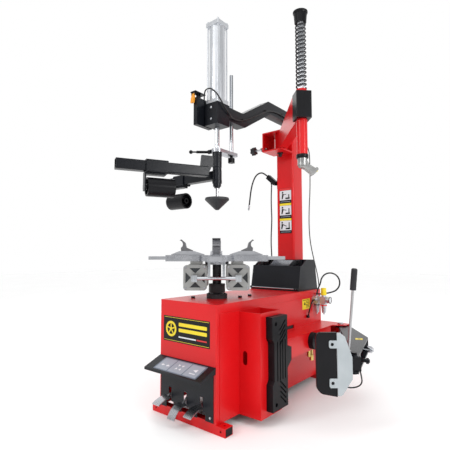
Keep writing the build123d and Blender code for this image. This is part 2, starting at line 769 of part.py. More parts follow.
# ---------------------------------------------------------------- helper arm
def make_helper_arm():
    """The gooseneck tube from the column's top, welded to the cylinder block."""
    low_bottom = arm_low_top - arm_height
    high_bottom = arm_high_top - arm_height
    end = column_y + 42
    top_bends = ((-104, arm_low_top), (153, arm_high_top))
    low_bends = ((173, high_bottom), (-84, low_bottom))
    tube = [(block_rear_y - 2, arm_low_top), *top_bends, (end, arm_high_top), (end, high_bottom), *low_bends,
            (block_rear_y - 2, low_bottom)]
    with BuildPart() as arm:
        with BuildSketch(Plane.YZ):
            outline(tube)
        extrude(amount=arm_width / 2, both=True)
        with BuildSketch(Plane.YZ):
            outline([(block_rear_y - 1, arm_low_top - 4), (-105, arm_low_top - 4), (152, arm_high_top - 4),
                     (end - 4, arm_high_top - 4), (end - 4, high_bottom + 4), (174, high_bottom + 4),
                     (-83, low_bottom + 4), (block_rear_y - 1, low_bottom + 4)])
        extrude(amount=arm_width / 2 - 4, both=True, mode=Mode.SUBTRACT)
        block((-block_half_x, block_front_y, block_low), (block_half_x, block_rear_y, arm_low_top))
        block((-block_half_x + 8, block_front_y + 8, block_low + 8),
              (block_half_x - 8, block_rear_y - 8, arm_low_top - 8), Mode.SUBTRACT)
        pillar(0, table_y, block_low, arm_low_top, 19)
        pillar(0, table_y, block_low - 1, arm_low_top + 1, piston_rod_radius + running_clearance, Mode.SUBTRACT)
        pillar(0, guide_rod_y, low_bottom, arm_low_top, 18)
        pillar(0, guide_rod_y, low_bottom - 1, arm_low_top + 1, guide_rod_radius + running_clearance, Mode.SUBTRACT)
        pillar(0, column_y, high_bottom, arm_high_top, 27)
        pillar(0, column_y, high_bottom - 1, arm_high_top + 1, 16 + running_clearance, Mode.SUBTRACT)
    pieces["helper_arm"] = arm


cylinder_low = 1557
cylinder_high = 1953
cap_side = 86
barrel_radius = 41
bore_radius = 38
tie_rod_offset = 35


def make_press_cylinder():
    """The square-capped cylinder with its barrel and four tie rods."""
    with BuildPart() as cylinder:
        for low, high in ((arm_low_top, cylinder_low), (cylinder_high, cylinder_high + 22)):
            with BuildSketch(Plane.XY.offset(low)):
                with Locations((0, table_y)):
                    RectangleRounded(cap_side, cap_side, 3)
            extrude(amount=high - low)
        pillar(0, table_y, cylinder_low, cylinder_high, barrel_radius)
        pillar(0, table_y, cylinder_low, cylinder_high - 6, bore_radius, Mode.SUBTRACT)
        pillar(0, table_y, arm_low_top - 1, cylinder_low + 1, piston_rod_radius + running_clearance, Mode.SUBTRACT)
        for x in (-tie_rod_offset, tie_rod_offset):
            for y in (table_y - tie_rod_offset, table_y + tie_rod_offset):
                pillar(x, y, cylinder_low, cylinder_high + 32, 4)
                pillar(x, y, cylinder_high + 22, cylinder_high + 28, 6.5)
    pieces["press_cylinder"] = cylinder


def make_press_rods():
    """The piston rod with its piston, and the guide rod beside it."""
    with BuildPart() as rods:
        pillar(0, table_y, plate_high, 1796, piston_rod_radius)
        pillar(0, table_y, 1780, 1806, bore_radius - 0.2)
        pillar(0, guide_rod_y, plate_high, 1737, guide_rod_radius)
    pieces["press_rods"] = rods


def make_press_plate():
    with BuildPart() as plate:
        with BuildSketch(Plane.XY.offset(plate_low)):
            with Locations((0, table_y)):
                Circle(29)
            with Locations((0, (table_y - 148) / 2)):
                Rectangle(58, -148 - table_y)
        extrude(amount=plate_high - plate_low)
        fillet(plate.edges().filter_by(Axis.Z).sort_by(Axis.Y)[-2:], 8)
        round_bar((-29.5, -300, 1292), (-22, -300, 1292), 5.1, Mode.SUBTRACT)
    pieces["press_plate"] = plate


def make_plate_knob():
    """The lobed knob under the guide rod's foot."""
    with BuildPart() as knob:
        star_knob((0, guide_rod_y, 1250), (0, guide_rod_y, 1276), 19)
        pillar(0, guide_rod_y, 1276, plate_low - 0.2, 8)
    pieces["plate_knob"] = knob


def make_lock_handle():
    """The pull handle of the tool lock, a bar with a black ball end."""
    with BuildPart() as handle:
        round_bar((-29.8, -300, 1292), (-48, -300, 1292), 11)
        round_bar((-48, -300, 1292), (-96, -342, 1292), 7)
        round_bar((-96, -342, 1292), (-112, -356, 1292), 4)
        with Locations((-118, -361, 1292)):
            Sphere(10)
        round_bar((-23, -300, 1292), (-32, -300, 1292), 5)
    pieces["lock_handle"] = handle


def make_tool_tube():
    """The upright core below the plate, with spacer rings and the cone's socket."""
    with BuildPart() as tube:
        pillar(0, table_y, 1106, plate_low, 19)
        pillar(0, table_y, 1266, plate_low, 25)
        pillar(0, table_y, 1190, 1205, 23)
        pillar(0, table_y, 1122, 1138, 25)
        pillar(0, table_y, 1106, 1122, 21)
        pillar(0, table_y, 1098, 1106, 15)
        pillar(0, table_y, 1097, 1150, 7.1, Mode.SUBTRACT)
    pieces["tool_tube"] = tube


def make_cone():
    """The centring cone on its chrome pin."""
    with BuildPart() as cone:
        pillar(0, table_y, 1040, 1149, 7)
        pillar(0, table_y, 1042, 1047, 60)
        pillar(0, table_y, 1036, 1042, 62)
        pillar(0, table_y, 985, 1036, 9, top_radius=62)
    pieces["cone"] = cone


# ---------------------------------------------------------------- roller arms
roller_angles = (244, 180)
arm_lows = (1152, 1140)
arm_tops = (1202, 1188)


def make_roller_arm_1():
    angle = roller_angles[0]
    with BuildPart() as arm:
        pillar(0, table_y, 1206, 1265, 24)
        with BuildSketch(upright(angle, 0, table_y)):
            outline([(15, 1262), (86, 1262), (92, 1204), (120, 1202), (120, 1152), (58, 1152), (32, 1206), (15, 1206)])
        extrude(amount=7, both=True)
        with BuildSketch(Plane(origin=(0, table_y, 1177), x_dir=upright(angle).z_dir,
                               z_dir=upright(angle).x_dir).offset(56)):
            RectangleRounded(48, 50, 5)
        extrude(amount=511 - 56)
        with BuildSketch(Plane(origin=(0, table_y, 1177), x_dir=upright(angle).z_dir,
                               z_dir=upright(angle).x_dir).offset(125)):
            RectangleRounded(40, 42, 3)
        extrude(amount=511 - 125, mode=Mode.SUBTRACT)
        pillar(0, table_y, 1205, 1266, 19 + running_clearance, Mode.SUBTRACT)
    pieces["roller_arm_1"] = arm


def make_roller_arm_2():
    angle = roller_angles[1]
    with BuildPart() as arm:
        pillar(0, table_y, 1139, 1189, 24)
        with BuildSketch(Plane(origin=(0, table_y, 1164), x_dir=upright(angle).z_dir,
                               z_dir=upright(angle).x_dir).offset(15)):
            RectangleRounded(46, 46, 5)
        extrude(amount=377 - 15)
        with BuildSketch(Plane(origin=(0, table_y, 1164), x_dir=upright(angle).z_dir,
                               z_dir=upright(angle).x_dir).offset(60)):
            RectangleRounded(38, 38, 3)
        extrude(amount=377 - 60, mode=Mode.SUBTRACT)
        pillar(0, table_y, 1138, 1190, 19 + running_clearance, Mode.SUBTRACT)
    pieces["roller_arm_2"] = arm


def roller_frame(angle, z):
    """A plane across a roller arm: its z direction runs along the arm."""
    return Plane(origin=(0, table_y, z), x_dir=upright(angle).z_dir, z_dir=upright(angle).x_dir)


def make_slider(name, angle, start, end, arm_z, arm_sizes, roller):
    """A sleeve on the arm with the plate and axle that carry its roller."""
    roller_z, roller_start, roller_end, axle_radius = roller
    frame = roller_frame(angle, arm_z)
    width, height = arm_sizes
    plate_outer = roller_end + 14
    side = upright(angle, 0, table_y)
    with BuildPart() as slider:
        with BuildSketch(frame.offset(start)):
            RectangleRounded(width + 14, height + 14, 8)
        extrude(amount=end - start)
        bottom = arm_z - height / 2 - 6
        with BuildSketch(side):
            outline([(start + 10, bottom), (plate_outer, bottom), (plate_outer, roller_z - 20),
                     (plate_outer - 8, roller_z - 20), (plate_outer - 8, bottom - 10), (start + 10, bottom - 10)])
        extrude(amount=18, both=True)
        axle = roller_frame(angle, roller_z)
        with BuildSketch(axle.offset(plate_outer - 8)):
            Circle(22)
        extrude(amount=8)
        with BuildSketch(axle.offset(roller_start + 18)):
            Circle(axle_radius)
        extrude(amount=plate_outer - 8 - roller_start - 18)
        with BuildSketch(frame.offset(start - 1)):
            RectangleRounded(width + 0.5, height + 0.5, 5)
        extrude(amount=end - start + 30, mode=Mode.SUBTRACT)
    pieces[name] = slider


def make_roller(name, angle, roller, radius):
    """A hollow drum with an inner web that runs on the slider's axle."""
    roller_z, roller_start, roller_end, axle_radius = roller
    frame = roller_frame(angle, roller_z)
    with BuildPart() as drum:
        with BuildSketch(frame.offset(roller_start)):
            Circle(radius)
        extrude(amount=roller_end - roller_start)
        for start, end in ((roller_start - 1, roller_start + 26), (roller_end - 20, roller_end + 1)):
            with BuildSketch(frame.offset(start)):
                Circle(radius - 8)
                Circle(axle_radius + 6, mode=Mode.SUBTRACT)
            extrude(amount=end - start, mode=Mode.SUBTRACT)
        with BuildSketch(frame.offset(roller_start - 1)):
            Circle(axle_radius + running_clearance)
        extrude(amount=roller_end - roller_start + 2, mode=Mode.SUBTRACT)
    pieces[name] = drum


roller_1 = (1079, 232, 364, 9)
roller_2 = (1052, 222, 342, 9)


# ---------------------------------------------------------------- control box
lever_pin_y = -395
lever_pin_z = 1578


def make_control_box():
    """The thin valve box beside the block, with its bracket and top plate."""
    with BuildPart() as box:
        block((-72, -390, 1419), (-48, -275, 1562))
        block((-48, -330, 1440), (-block_half_x, -282, 1510))
        block((-80, -406, 1585), (-44, -330, 1590))
        block((-68, -376, 1562), (-60, -350, 1585))
        for y in (-370, -292):
            round_bar((-76, y, 1440), (-72, y, 1440), 4)
        pillar(-56, -300, 1562, 1568, 8)
        for x in (-80, -57):
            block((x, lever_pin_y - 5, lever_pin_z - 6), (x + 3, lever_pin_y + 5, 1585))
        round_bar((-78, lever_pin_y, lever_pin_z), (-56, lever_pin_y, lever_pin_z), 2)
    pieces["control_box"] = box


def make_control_lever():
    """The finger lever on its pin under the top plate."""
    with BuildPart() as lever:
        round_bar((-76, lever_pin_y, lever_pin_z), (-58, lever_pin_y, lever_pin_z), 5)
        with BuildSketch(Plane.YZ.offset(-76)):
            outline([(lever_pin_y - 5, lever_pin_z), (lever_pin_y + 1, lever_pin_z), (-395, 1552), (-398, 1530),
                     (-410, 1530), (-407, 1552)])
        extrude(amount=18)
        round_bar((-77, lever_pin_y, lever_pin_z), (-57, lever_pin_y, lever_pin_z), 2.05, Mode.SUBTRACT)
    pieces["control_lever"] = lever


# ---------------------------------------------------------------- bead breaker
breaker_arm_low = 262
breaker_arm_high = 336
blade_centre = (584, -211)
blade_turn = 39.7
blade_pin = (634, -130)


def make_breaker_arm():
    """The cranked fork of two plates, so that the pull rod can pass between them."""
    low, high = breaker_arm_low, breaker_arm_high
    route = [(304, 440), (329, 425), (462, 183), (559, 19), (596, -150), (664, -156), (568, 233), (378, 474),
             (325, 488)]
    web = [(548, 215), (568, 233), (378, 474), (360, 462)]
    with BuildPart() as arm:
        for start in (low, high - 8):
            with BuildSketch(Plane.XY.offset(start)):
                outline(route)
                with Locations(breaker_pivot):
                    Circle(31)
            extrude(amount=8)
        with BuildSketch(Plane.XY.offset(low)):
            outline(web)
            outline([(571, -34), (577, -60), (634, -60), (628, -34)])
        extrude(amount=high - low)
        pillar(*breaker_pivot, low - 1, high + 1, 11 + running_clearance, Mode.SUBTRACT)
        pillar(*blade_pin, low - 1, high + 1, 8 + running_clearance, Mode.SUBTRACT)
        round_bar((598, -48, 291), (668, -34, 291), 8)
        round_bar((654, -37, 291), (664, -35, 291), 13)
    pieces["breaker_arm"] = arm


def blade_plane():
    turn = math.radians(blade_turn)
    return Plane(origin=(*blade_centre, 0), x_dir=(math.cos(turn), math.sin(turn), 0),
                 z_dir=(math.sin(turn), -math.cos(turn), 0))


def make_breaker_blade():
    """The steel shovel plate with its two bolted tabs."""
    with BuildPart() as blade:
        with BuildSketch(blade_plane()):
            outline([(12, 430), (26, 430), (46, 414), (75, 330), (75, 240), (34, 178), (26, 172), (12, 172),
                     (12, 204), (-18, 204), (-22, 210), (-22, 236), (-18, 242), (12, 242), (12, 366), (-18, 366),
                     (-22, 372), (-22, 392), (-18, 398), (12, 398)])
            with Locations((-8, 223), (-8, 382)):
                Circle(7, mode=Mode.SUBTRACT)
        extrude(amount=-6)
    pieces["breaker_blade"] = blade


def make_blade_block():
    """The swivel block between the arm's plates, with its pin and the two bolts of the guard."""
    low, high = breaker_arm_low + 8.3, breaker_arm_high - 8.3
    with BuildPart() as joint:
        with BuildSketch(blade_plane().offset(-6)):
            with Locations((88, (low + high) / 2)):
                Rectangle(52, high - low)
        extrude(amount=-48)
        with BuildSketch(blade_plane().offset(-6)):
            with Locations((52, (low + high) / 2)):
                Rectangle(30, high - low - 8)
        extrude(amount=-20)
        pillar(*blade_pin, breaker_arm_low - 6, breaker_arm_high + 6, 8)
        pillar(*blade_pin, breaker_arm_high + 0.3, breaker_arm_high + 8, 14)
        pillar(*blade_pin, breaker_arm_low - 8, breaker_arm_low - 0.3, 14)
    pieces["blade_block"] = joint


def make_blade_guard():
    """The black plastic guard on the blade's leading side."""
    with BuildPart() as guard:
        with BuildSketch(blade_plane().offset(-6)):
            with BuildLine():
                Line((11.8, 430), (-56, 430))
                ThreePointArc((-56, 430), (-69, 424), (-75, 410))
                Line((-75, 410), (-75, 214))
                ThreePointArc((-75, 214), (-67, 190), (-46, 176))
                Polyline((-46, 176), (11.8, 166), (11.8, 430))
            make_face()
        extrude(amount=-14)
    pieces["blade_guard"] = guard


def make_breaker_handle():
    """The pull lever on the arm: a bare rod with a long black grip."""
    base = (602, -106, breaker_arm_high)
    top = (629, -84, 694)
    direction = Vector(*top) - Vector(*base)
    grip_start = tuple(Vector(*base) + direction * 0.74)
    with BuildPart() as handle:
        round_bar((base[0], base[1], breaker_arm_high + 2), top, 6)
        round_bar(grip_start, tuple(Vector(*base) + direction * 1.01), 13.5)
        pillar(base[0], base[1], breaker_arm_high, breaker_arm_high + 6, 11)
        fillet(handle.edges().sort_by(Axis.Z)[-1], 8)
    pieces["breaker_handle"] = handle


def make_breaker_rod():
    """The pull rod with its piston inside and its nut beyond the arm."""
    with BuildPart() as rod:
        round_bar((0, breaker_y, breaker_z), (624, breaker_y, breaker_z), 11)
        round_bar((-12, breaker_y, breaker_z), (12, breaker_y, breaker_z), 88.8)
        round_bar((600, breaker_y, breaker_z), (616, breaker_y, breaker_z), 17)
    pieces["breaker_rod"] = rod


# ---------------------------------------------------------------- hoses and the clipped cable
def vector_points(route):
    return [Vector(*point) for point in route]


def cord_radii(route):
    """The largest tangent arc at each inner point: 0.45 of the shorter run over tan(half the turn)."""
    points = vector_points(route)
    radii = []
    for before, here, after in zip(points, points[1:], points[2:]):
        turn = (here - before).get_angle(after - here)
        shorter = min((here - before).length, (after - here).length)
        radii.append(0.45 * shorter / math.tan(math.radians(turn) / 2))
    return radii


def make_cord(name, route, diameter):
    radii = cord_radii(route)
    with BuildPart() as cord:
        with BuildLine() as path:
            FilletPolyline(*route, radius=radii)
        route_wire = path.wires()[0]
        with BuildSketch(Plane(origin=route_wire @ 0, z_dir=route_wire % 0)):
            Circle(diameter / 2)
        sweep(path=route_wire)
    expected = math.pi * diameter ** 2 / 4 * route_wire.length
    print(name, "length", round(route_wire.length), "least radius", round(min(radii)), "in diameters",
          round(min(radii) / diameter, 1), "volume ratio", round(cord.part.volume / expected, 4))
    pieces[name] = cord


inflator_route = [(-132.2, 390, 1279.2), (-153, 389, 1298), (-186, 386, 1316), (-226, 384, 1302), (-254, 384, 1256),
                  (-270, 384, 1200), (-278, 384, 1146), (-287, 384, 1086)]
drop_route = [(-104, 390, 1225.5), (-105, 388, 1180), (-106, 386, 1122), (-104, 384, 1062), (-101, 384, 1002),
              (-102, 382, 942), (-105, 380, 882), (-107, 382, 822), (-105, 384, 762), (-103, 384, 702),
              (-104, 386, 642), (-106, 386, 590), (-106, 386, 543)]
column_route = [(62.9, 478, 1500), (100, 482, 1492), (122, 490, 1440), (125, 494, 1384), (124, 495, 1322),
                (124, 496, 1262), (123, 496, 1202), (121, 495, 1142), (118, 492, 1082), (116, 490, 1022),
                (115, 489, 962), (116, 490, 902), (119, 494, 842), (125, 500, 790), (133, 507, 738),
                (142, 514, 688), (149, 522, 640), (154, 530, 592), (152, 540, 548), (144, 544, 508),
                (138, 532, 476), (136, 501.3, 466)]
loop_route = [(205, frl_y, frl_z + 27.2), (207, 406, 544), (216, 428, 578), (220, 433, 610), (236, 446, 637),
              (264, 469, 647), (291, 492, 634), (307, 505, 603), (306, 505, 566), (288, 490, 536),
              (260, 467, 525), (232, 449, 519), (206, 441, 515), (180.6, 440, 514.5)]
outlet_route = [(205, frl_y - 34.2, frl_z), (204, frl_y - 56, frl_z - 3), (200, frl_y - 72, frl_z - 30),
                (195, frl_y - 80, frl_z - 62), (191.5, frl_y - 87, frl_z - 94)]
breaker_route = [(646, -92, 261), (650, -89, 236), (652, -86, 208), (634, -90, 188), (600, -104, 180),
                 (566, -96, 184), (546, -64, 196), (542, -26, 214), (554, 4, 236), (560, 14, 260)]
arm_cable_route = [(-62, -321, 1563.5), (-60, -323, 1594), (-40, -337, 1613), (0, -345, 1610), (38, -347, 1582),
                   (55, -328, 1544), (52, -286, 1508), (48, -240, 1484), (35, -196, 1479), (36, -140, 1483),
                   (35, -84, 1503), (34.5, -28, 1533), (36, 28, 1561), (35, 84, 1592.5), (36, 140, 1620),
                   (34.5, 200, 1635), (36, 260, 1639), (35, 320, 1637), (36, 380, 1639), (34.5, 430, 1641)]


def make_outlet_pipe():
    """The short bent pipe from the air service unit down to its fitting in the side wall."""
    with BuildPart() as pipe:
        with BuildLine() as path:
            FilletPolyline(*outlet_route, radius=cord_radii(outlet_route))
        route_wire = path.wires()[0]
        with BuildSketch(Plane(origin=route_wire @ 0, z_dir=route_wire % 0)):
            Circle(4)
        sweep(path=route_wire)
        x, y, z = outlet_route[-1]
        round_bar((panel_face + 0.2, y, z), (x + 6, y, z), 8)
    pieces["outlet_pipe"] = pipe


def make_arm_cable():
    """The control hose along the helper arm with its three clips."""
    route = arm_cable_route
    radii = cord_radii(route)
    with BuildPart() as cable:
        with BuildLine() as path:
            FilletPolyline(*route, radius=radii)
        route_wire = path.wires()[0]
        with BuildSketch(Plane(origin=route_wire @ 0, z_dir=route_wire % 0)):
            Circle(3.5)
        sweep(path=route_wire)
    print("arm_cable least radius", round(min(radii)))
    pieces["arm_cable"] = cable
    with BuildPart() as clips:
        for y, z in ((-112, 1491), (112, 1607), (300, 1638)):
            block((arm_width / 2, y - 8, z - 9), (arm_width / 2 + 0.8, y + 8, z + 10))
            block((arm_width / 2 + 0.8, y - 5, z + 7.5), (arm_width / 2 + 9, y + 5, z + 10))
    pieces["cable_clips"] = clips


# ---------------------------------------------------------------- build and write every piece
def build_all():
    make_cabinet_shell()
    make_side_panels()
    make_foot_rails()
    make_front_cover()
    make_pedal_hood()
    for name, x, drop in zip(pedal_names, pedal_places, pedal_drops):
        make_pedal(name, x, drop)
    make_pad_bracket()
    make_rubber_pads()
    make_side_box()
    make_silencers()
    make_labels()
    make_foot_caps()
    make_tool_tray()
    make_column()
    make_turntable()
    for quarter in range(4):
        make_jaw(f"jaw_{quarter + 1}", quarter)
    make_chuck_unit()
    make_chuck_yoke()
    make_drive_unit()
    make_breaker_cylinder()
    make_base_fasteners()
    make_frl_unit()
    make_frl_bowls()
    make_regulator_knob()
    make_hose_block()
    make_swing_arm()
    make_lock_box()
    make_hex_shaft()
    make_hex_spring()
    make_shaft_cap()
    make_mount_head()
    make_stop_screw()
    make_helper_arm()
    make_press_cylinder()
    make_press_rods()
    make_press_plate()
    make_plate_knob()
    make_lock_handle()
    make_tool_tube()
    make_cone()
    make_roller_arm_1()
    make_roller_arm_2()
    make_slider("slider_1", roller_angles[0], 266, 373, 1177, (48, 50), roller_1)
    make_slider("slider_2", roller_angles[1], 222, 300, 1164, (46, 46), roller_2)
    make_roller("roller_drum_1", roller_angles[0], roller_1, 46)
    make_roller("roller_drum_2", roller_angles[1], roller_2, 43)
    make_control_box()
    make_control_lever()
    make_breaker_arm()
    make_breaker_blade()
    make_blade_block()
    make_blade_guard()
    make_breaker_handle()
    make_breaker_rod()
    make_cord("inflator_hose", inflator_route, 10)
    make_cord("drop_hose", drop_route, 8)
    make_cord("column_hose", column_route, 6)
    make_cord("loop_hose", loop_route, 9)
    make_outlet_pipe()
    make_cord("breaker_hose", breaker_route, 6)
    make_arm_cable()


build_all()

# Small pieces of one material and one moving group share a node, as separate solids.
shared_nodes = {
    "cabinet_shell": ("cabinet_shell", "side_panels"),
    "panels": ("name_plate", "panels"),
    "drain_fittings": ("silencer", "drain_fitting"),
    "rubber_pads": ("rubber_pads", "foot_caps"),
    "blade_guard": ("blade_guard", "blade_block"),
    "hose_block": ("hose_block", "outlet_pipe"),
    "drive_units": ("drive_unit", "breaker_cylinder"),
    "frl_unit": ("frl_unit", "frl_bowls"),
    "arm_cable": ("arm_cable", "cable_clips"),
}
shapes = {name: [piece.part] for name, piece in pieces.items()}
for node, members in shared_nodes.items():
    shapes[node] = [part for member in members for part in shapes.pop(member)]
for node, parts in shapes.items():
    solids = [solid for part in parts for solid in part.solids()]
    shape = Compound(solids) if len(solids) > 1 else solids[0]
    shape.label = node
    export_step(shape, f"parts/{node}.step")
print("nodes written:", len(shapes))
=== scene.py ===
"""Looks for the swing-arm tire changer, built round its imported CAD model."""
import math

import bmesh
import bpy
from mathutils import Matrix, Vector


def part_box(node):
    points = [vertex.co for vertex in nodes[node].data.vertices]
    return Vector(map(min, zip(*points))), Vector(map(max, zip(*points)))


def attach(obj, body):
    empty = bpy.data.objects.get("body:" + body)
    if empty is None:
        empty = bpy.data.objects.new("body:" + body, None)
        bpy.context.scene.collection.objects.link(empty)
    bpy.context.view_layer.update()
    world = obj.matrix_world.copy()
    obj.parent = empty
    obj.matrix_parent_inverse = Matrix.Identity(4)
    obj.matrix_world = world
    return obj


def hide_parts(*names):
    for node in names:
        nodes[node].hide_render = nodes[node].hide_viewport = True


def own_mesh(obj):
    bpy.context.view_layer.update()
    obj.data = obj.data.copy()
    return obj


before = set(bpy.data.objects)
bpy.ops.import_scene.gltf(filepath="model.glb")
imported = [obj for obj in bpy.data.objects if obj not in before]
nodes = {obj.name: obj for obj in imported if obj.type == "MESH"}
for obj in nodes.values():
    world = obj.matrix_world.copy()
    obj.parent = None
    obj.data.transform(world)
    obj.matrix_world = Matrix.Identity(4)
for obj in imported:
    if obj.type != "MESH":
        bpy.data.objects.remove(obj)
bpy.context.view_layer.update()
MM = 0.001

# ---------------------------------------------------------------- camera and background
CAMERA_PLACE = (1.2848, -1.7739, 0.7614)
CAMERA_AZIMUTH = math.radians(39.66)
CAMERA_PITCH = math.radians(4.27)
CAMERA_LENS = 30.86
SENSOR_WIDTH = 36.0


def add_camera():
    data = bpy.data.cameras.new("camera")
    data.lens = CAMERA_LENS
    data.sensor_width = SENSOR_WIDTH
    camera = bpy.data.objects.new("camera", data)
    camera.location = CAMERA_PLACE
    camera.rotation_euler = (math.pi / 2 + CAMERA_PITCH, 0, CAMERA_AZIMUTH)
    bpy.context.scene.collection.objects.link(camera)
    bpy.context.scene.camera = camera


def add_light(name, place, target, size, power):
    """A round area light that faces its target."""
    data = bpy.data.lights.new(name, "AREA")
    data.shape = "DISK"
    data.size = size
    data.energy = power
    lamp = bpy.data.objects.new(name, data)
    lamp.location = place
    aim = Vector(target) - Vector(place)
    lamp.rotation_euler = aim.to_track_quat("-Z", "Y").to_euler()
    bpy.context.scene.collection.objects.link(lamp)


def add_sun(name, source, power, spread_angle):
    """A soft even light from one side of the sky."""
    data = bpy.data.lights.new(name, "SUN")
    data.energy = power
    data.angle = math.radians(spread_angle)
    lamp = bpy.data.objects.new(name, data)
    lamp.rotation_euler = Vector(source).to_track_quat("Z", "Y").to_euler()
    bpy.context.scene.collection.objects.link(lamp)


add_camera()


# ---------------------------------------------------------------- materials
def new_material(name):
    material = bpy.data.materials.new(name)
    material.use_nodes = True
    tree = material.node_tree
    shader = tree.nodes["Principled BSDF"]
    place = tree.nodes.new("ShaderNodeTexCoord")
    return material, tree, shader, place.outputs["Object"]


def noise(tree, vector, scale, detail=4.0, stretch=None):
    if stretch is not None:
        mapping = tree.nodes.new("ShaderNodeMapping")
        mapping.inputs["Scale"].default_value = stretch
        tree.links.new(vector, mapping.inputs["Vector"])
        vector = mapping.outputs["Vector"]
    texture = tree.nodes.new("ShaderNodeTexNoise")
    texture.inputs["Scale"].default_value = scale
    texture.inputs["Detail"].default_value = detail
    tree.links.new(vector, texture.inputs["Vector"])
    return texture.outputs["Fac"]


def spread(tree, value, low, high):
    """Maps a noise value, which stays near one half, onto a range."""
    remap = tree.nodes.new("ShaderNodeMapRange")
    remap.inputs["From Min"].default_value = 0.3
    remap.inputs["From Max"].default_value = 0.7
    remap.inputs["To Min"].default_value = low
    remap.inputs["To Max"].default_value = high
    tree.links.new(value, remap.inputs["Value"])
    return remap.outputs["Result"]


def blend_colours(tree, factor, first, second):
    mix = tree.nodes.new("ShaderNodeMix")
    mix.data_type = "RGBA"
    mix.inputs["A"].default_value = (*first, 1)
    mix.inputs["B"].default_value = (*second, 1)
    tree.links.new(factor, mix.inputs["Factor"])
    return mix.outputs["Result"]


def bump(tree, shader, height, distance, strength=0.3):
    node = tree.nodes.new("ShaderNodeBump")
    node.inputs["Strength"].default_value = strength
    node.inputs["Distance"].default_value = distance
    tree.links.new(height, node.inputs["Height"])
    tree.links.new(node.outputs["Normal"], shader.inputs["Normal"])


def surface(name, colour, darker, metallic=0.0, rough=(0.3, 0.45), patch=6.0, grain=900.0, depth=0.0002,
            coat=0.0, stretch=None, strength=0.25, gloss=0.5):
    """A finish whose colour drifts in soft patches and whose roughness and relief follow a finer grain."""
    material, tree, shader, place = new_material(name)
    patches = noise(tree, place, patch, 3.0)
    grains = noise(tree, place, grain, 4.0, stretch)
    tone = blend_colours(tree, spread(tree, patches, 0.0, 1.0), darker, colour)
    tree.links.new(tone, shader.inputs["Base Color"])
    tree.links.new(spread(tree, grains, *rough), shader.inputs["Roughness"])
    shader.inputs["Metallic"].default_value = metallic
    shader.inputs["Coat Weight"].default_value = coat
    shader.inputs["Coat Roughness"].default_value = 0.12
    shader.inputs["Specular IOR Level"].default_value = gloss
    bump(tree, shader, grains, depth, strength)
    return material


def along(axis):
    """Measures the place along one axis."""
    def measure(tree, place):
        split = tree.nodes.new("ShaderNodeSeparateXYZ")
        tree.links.new(place, split.inputs["Vector"])
        return split.outputs[axis]

    return measure


def away_from(x, y):
    """Measures the distance from the upright line through a place."""
    def measure(tree, place):
        flat = tree.nodes.new("ShaderNodeVectorMath")
        flat.operation = "MULTIPLY_ADD"
        flat.inputs[1].default_value = (1, 1, 0)
        flat.inputs[2].default_value = (-x, -y, 0)
        tree.links.new(place, flat.inputs[0])
        distance = tree.nodes.new("ShaderNodeVectorMath")
        distance.operation = "LENGTH"
        tree.links.new(flat.outputs["Vector"], distance.inputs[0])
        return distance.outputs["Value"]

    return measure


def two_zone(name, measure, limit, lower, upper):
    """One node with two finishes, lower up to the limit and upper past it.

    Each finish is its colour, metallic and roughness.
    """
    material, tree, shader, place = new_material(name)
    above = tree.nodes.new("ShaderNodeMath")
    above.operation = "GREATER_THAN"
    above.inputs[1].default_value = limit
    tree.links.new(measure(tree, place), above.inputs[0])
    zone = above.outputs["Value"]
    grains = noise(tree, place, 700.0, 4.0)
    patches = noise(tree, place, 14.0, 3.0)
    shade = tree.nodes.new("ShaderNodeMix")
    shade.data_type = "RGBA"
    shade.blend_type = "MULTIPLY"
    shade.inputs["Factor"].default_value = 1.0
    drift = blend_colours(tree, spread(tree, patches, 0, 1), (0.82, 0.82, 0.82), (1, 1, 1))
    tree.links.new(blend_colours(tree, zone, lower[0], upper[0]), shade.inputs["A"])
    tree.links.new(drift, shade.inputs["B"])
    tree.links.new(shade.outputs["Result"], shader.inputs["Base Color"])
    for index, socket in ((1, "Metallic"), (2, "Roughness")):
        remap = tree.nodes.new("ShaderNodeMapRange")
        remap.inputs["To Min"].default_value = lower[index]
        remap.inputs["To Max"].default_value = upper[index]
        tree.links.new(zone, remap.inputs["Value"])
        tree.links.new(remap.outputs["Result"], shader.inputs[socket])
    bump(tree, shader, grains, 0.00015, 0.2)
    return material


RED = (0.66, 0.006, 0.009)
RED_DARK = (0.58, 0.004, 0.006)
BLACK = (0.006, 0.006, 0.009)
STEEL = (0.56, 0.57, 0.60)
IRON_AND_SHADE = (0.05, 0.055, 0.06)
FILM_DEPTH = 0.00005

red_paint = surface(
    "red_paint", RED, RED_DARK, rough=(0.26, 0.38), patch=3.0, grain=420.0, depth=0.0003, coat=0.08,
    gloss=0.3)
black_paint = surface(
    "black_paint", (0.006, 0.007, 0.011), (0.003, 0.004, 0.006), rough=(0.24, 0.4), grain=1400.0,
    depth=0.0003, strength=0.4, gloss=0.28)
black_plastic = surface(
    "black_plastic", (0.004, 0.004, 0.006), (0.002, 0.002, 0.003), rough=(0.26, 0.42), grain=1800.0,
    strength=0.35, gloss=0.22)
rubber = surface(
    "rubber", (0.004, 0.004, 0.006), (0.002, 0.002, 0.003), rough=(0.34, 0.5), patch=20.0, grain=1200.0,
    depth=0.0004, strength=0.4, gloss=0.2)
hose_rubber = surface(
    "hose_rubber", (0.008, 0.008, 0.009), (0.005, 0.005, 0.005), rough=(0.25, 0.38), gloss=0.4)
chrome = surface(
    "chrome", (0.60, 0.62, 0.65), (0.46, 0.48, 0.51), metallic=1.0, rough=(0.10, 0.20), patch=9.0,
    grain=260.0, stretch=(1, 1, 0.06), depth=FILM_DEPTH)
steel = surface(
    "steel", STEEL, (0.40, 0.41, 0.44), metallic=1.0, rough=(0.22, 0.36), patch=16.0, grain=480.0,
    stretch=(1, 0.08, 1), depth=0.0001)
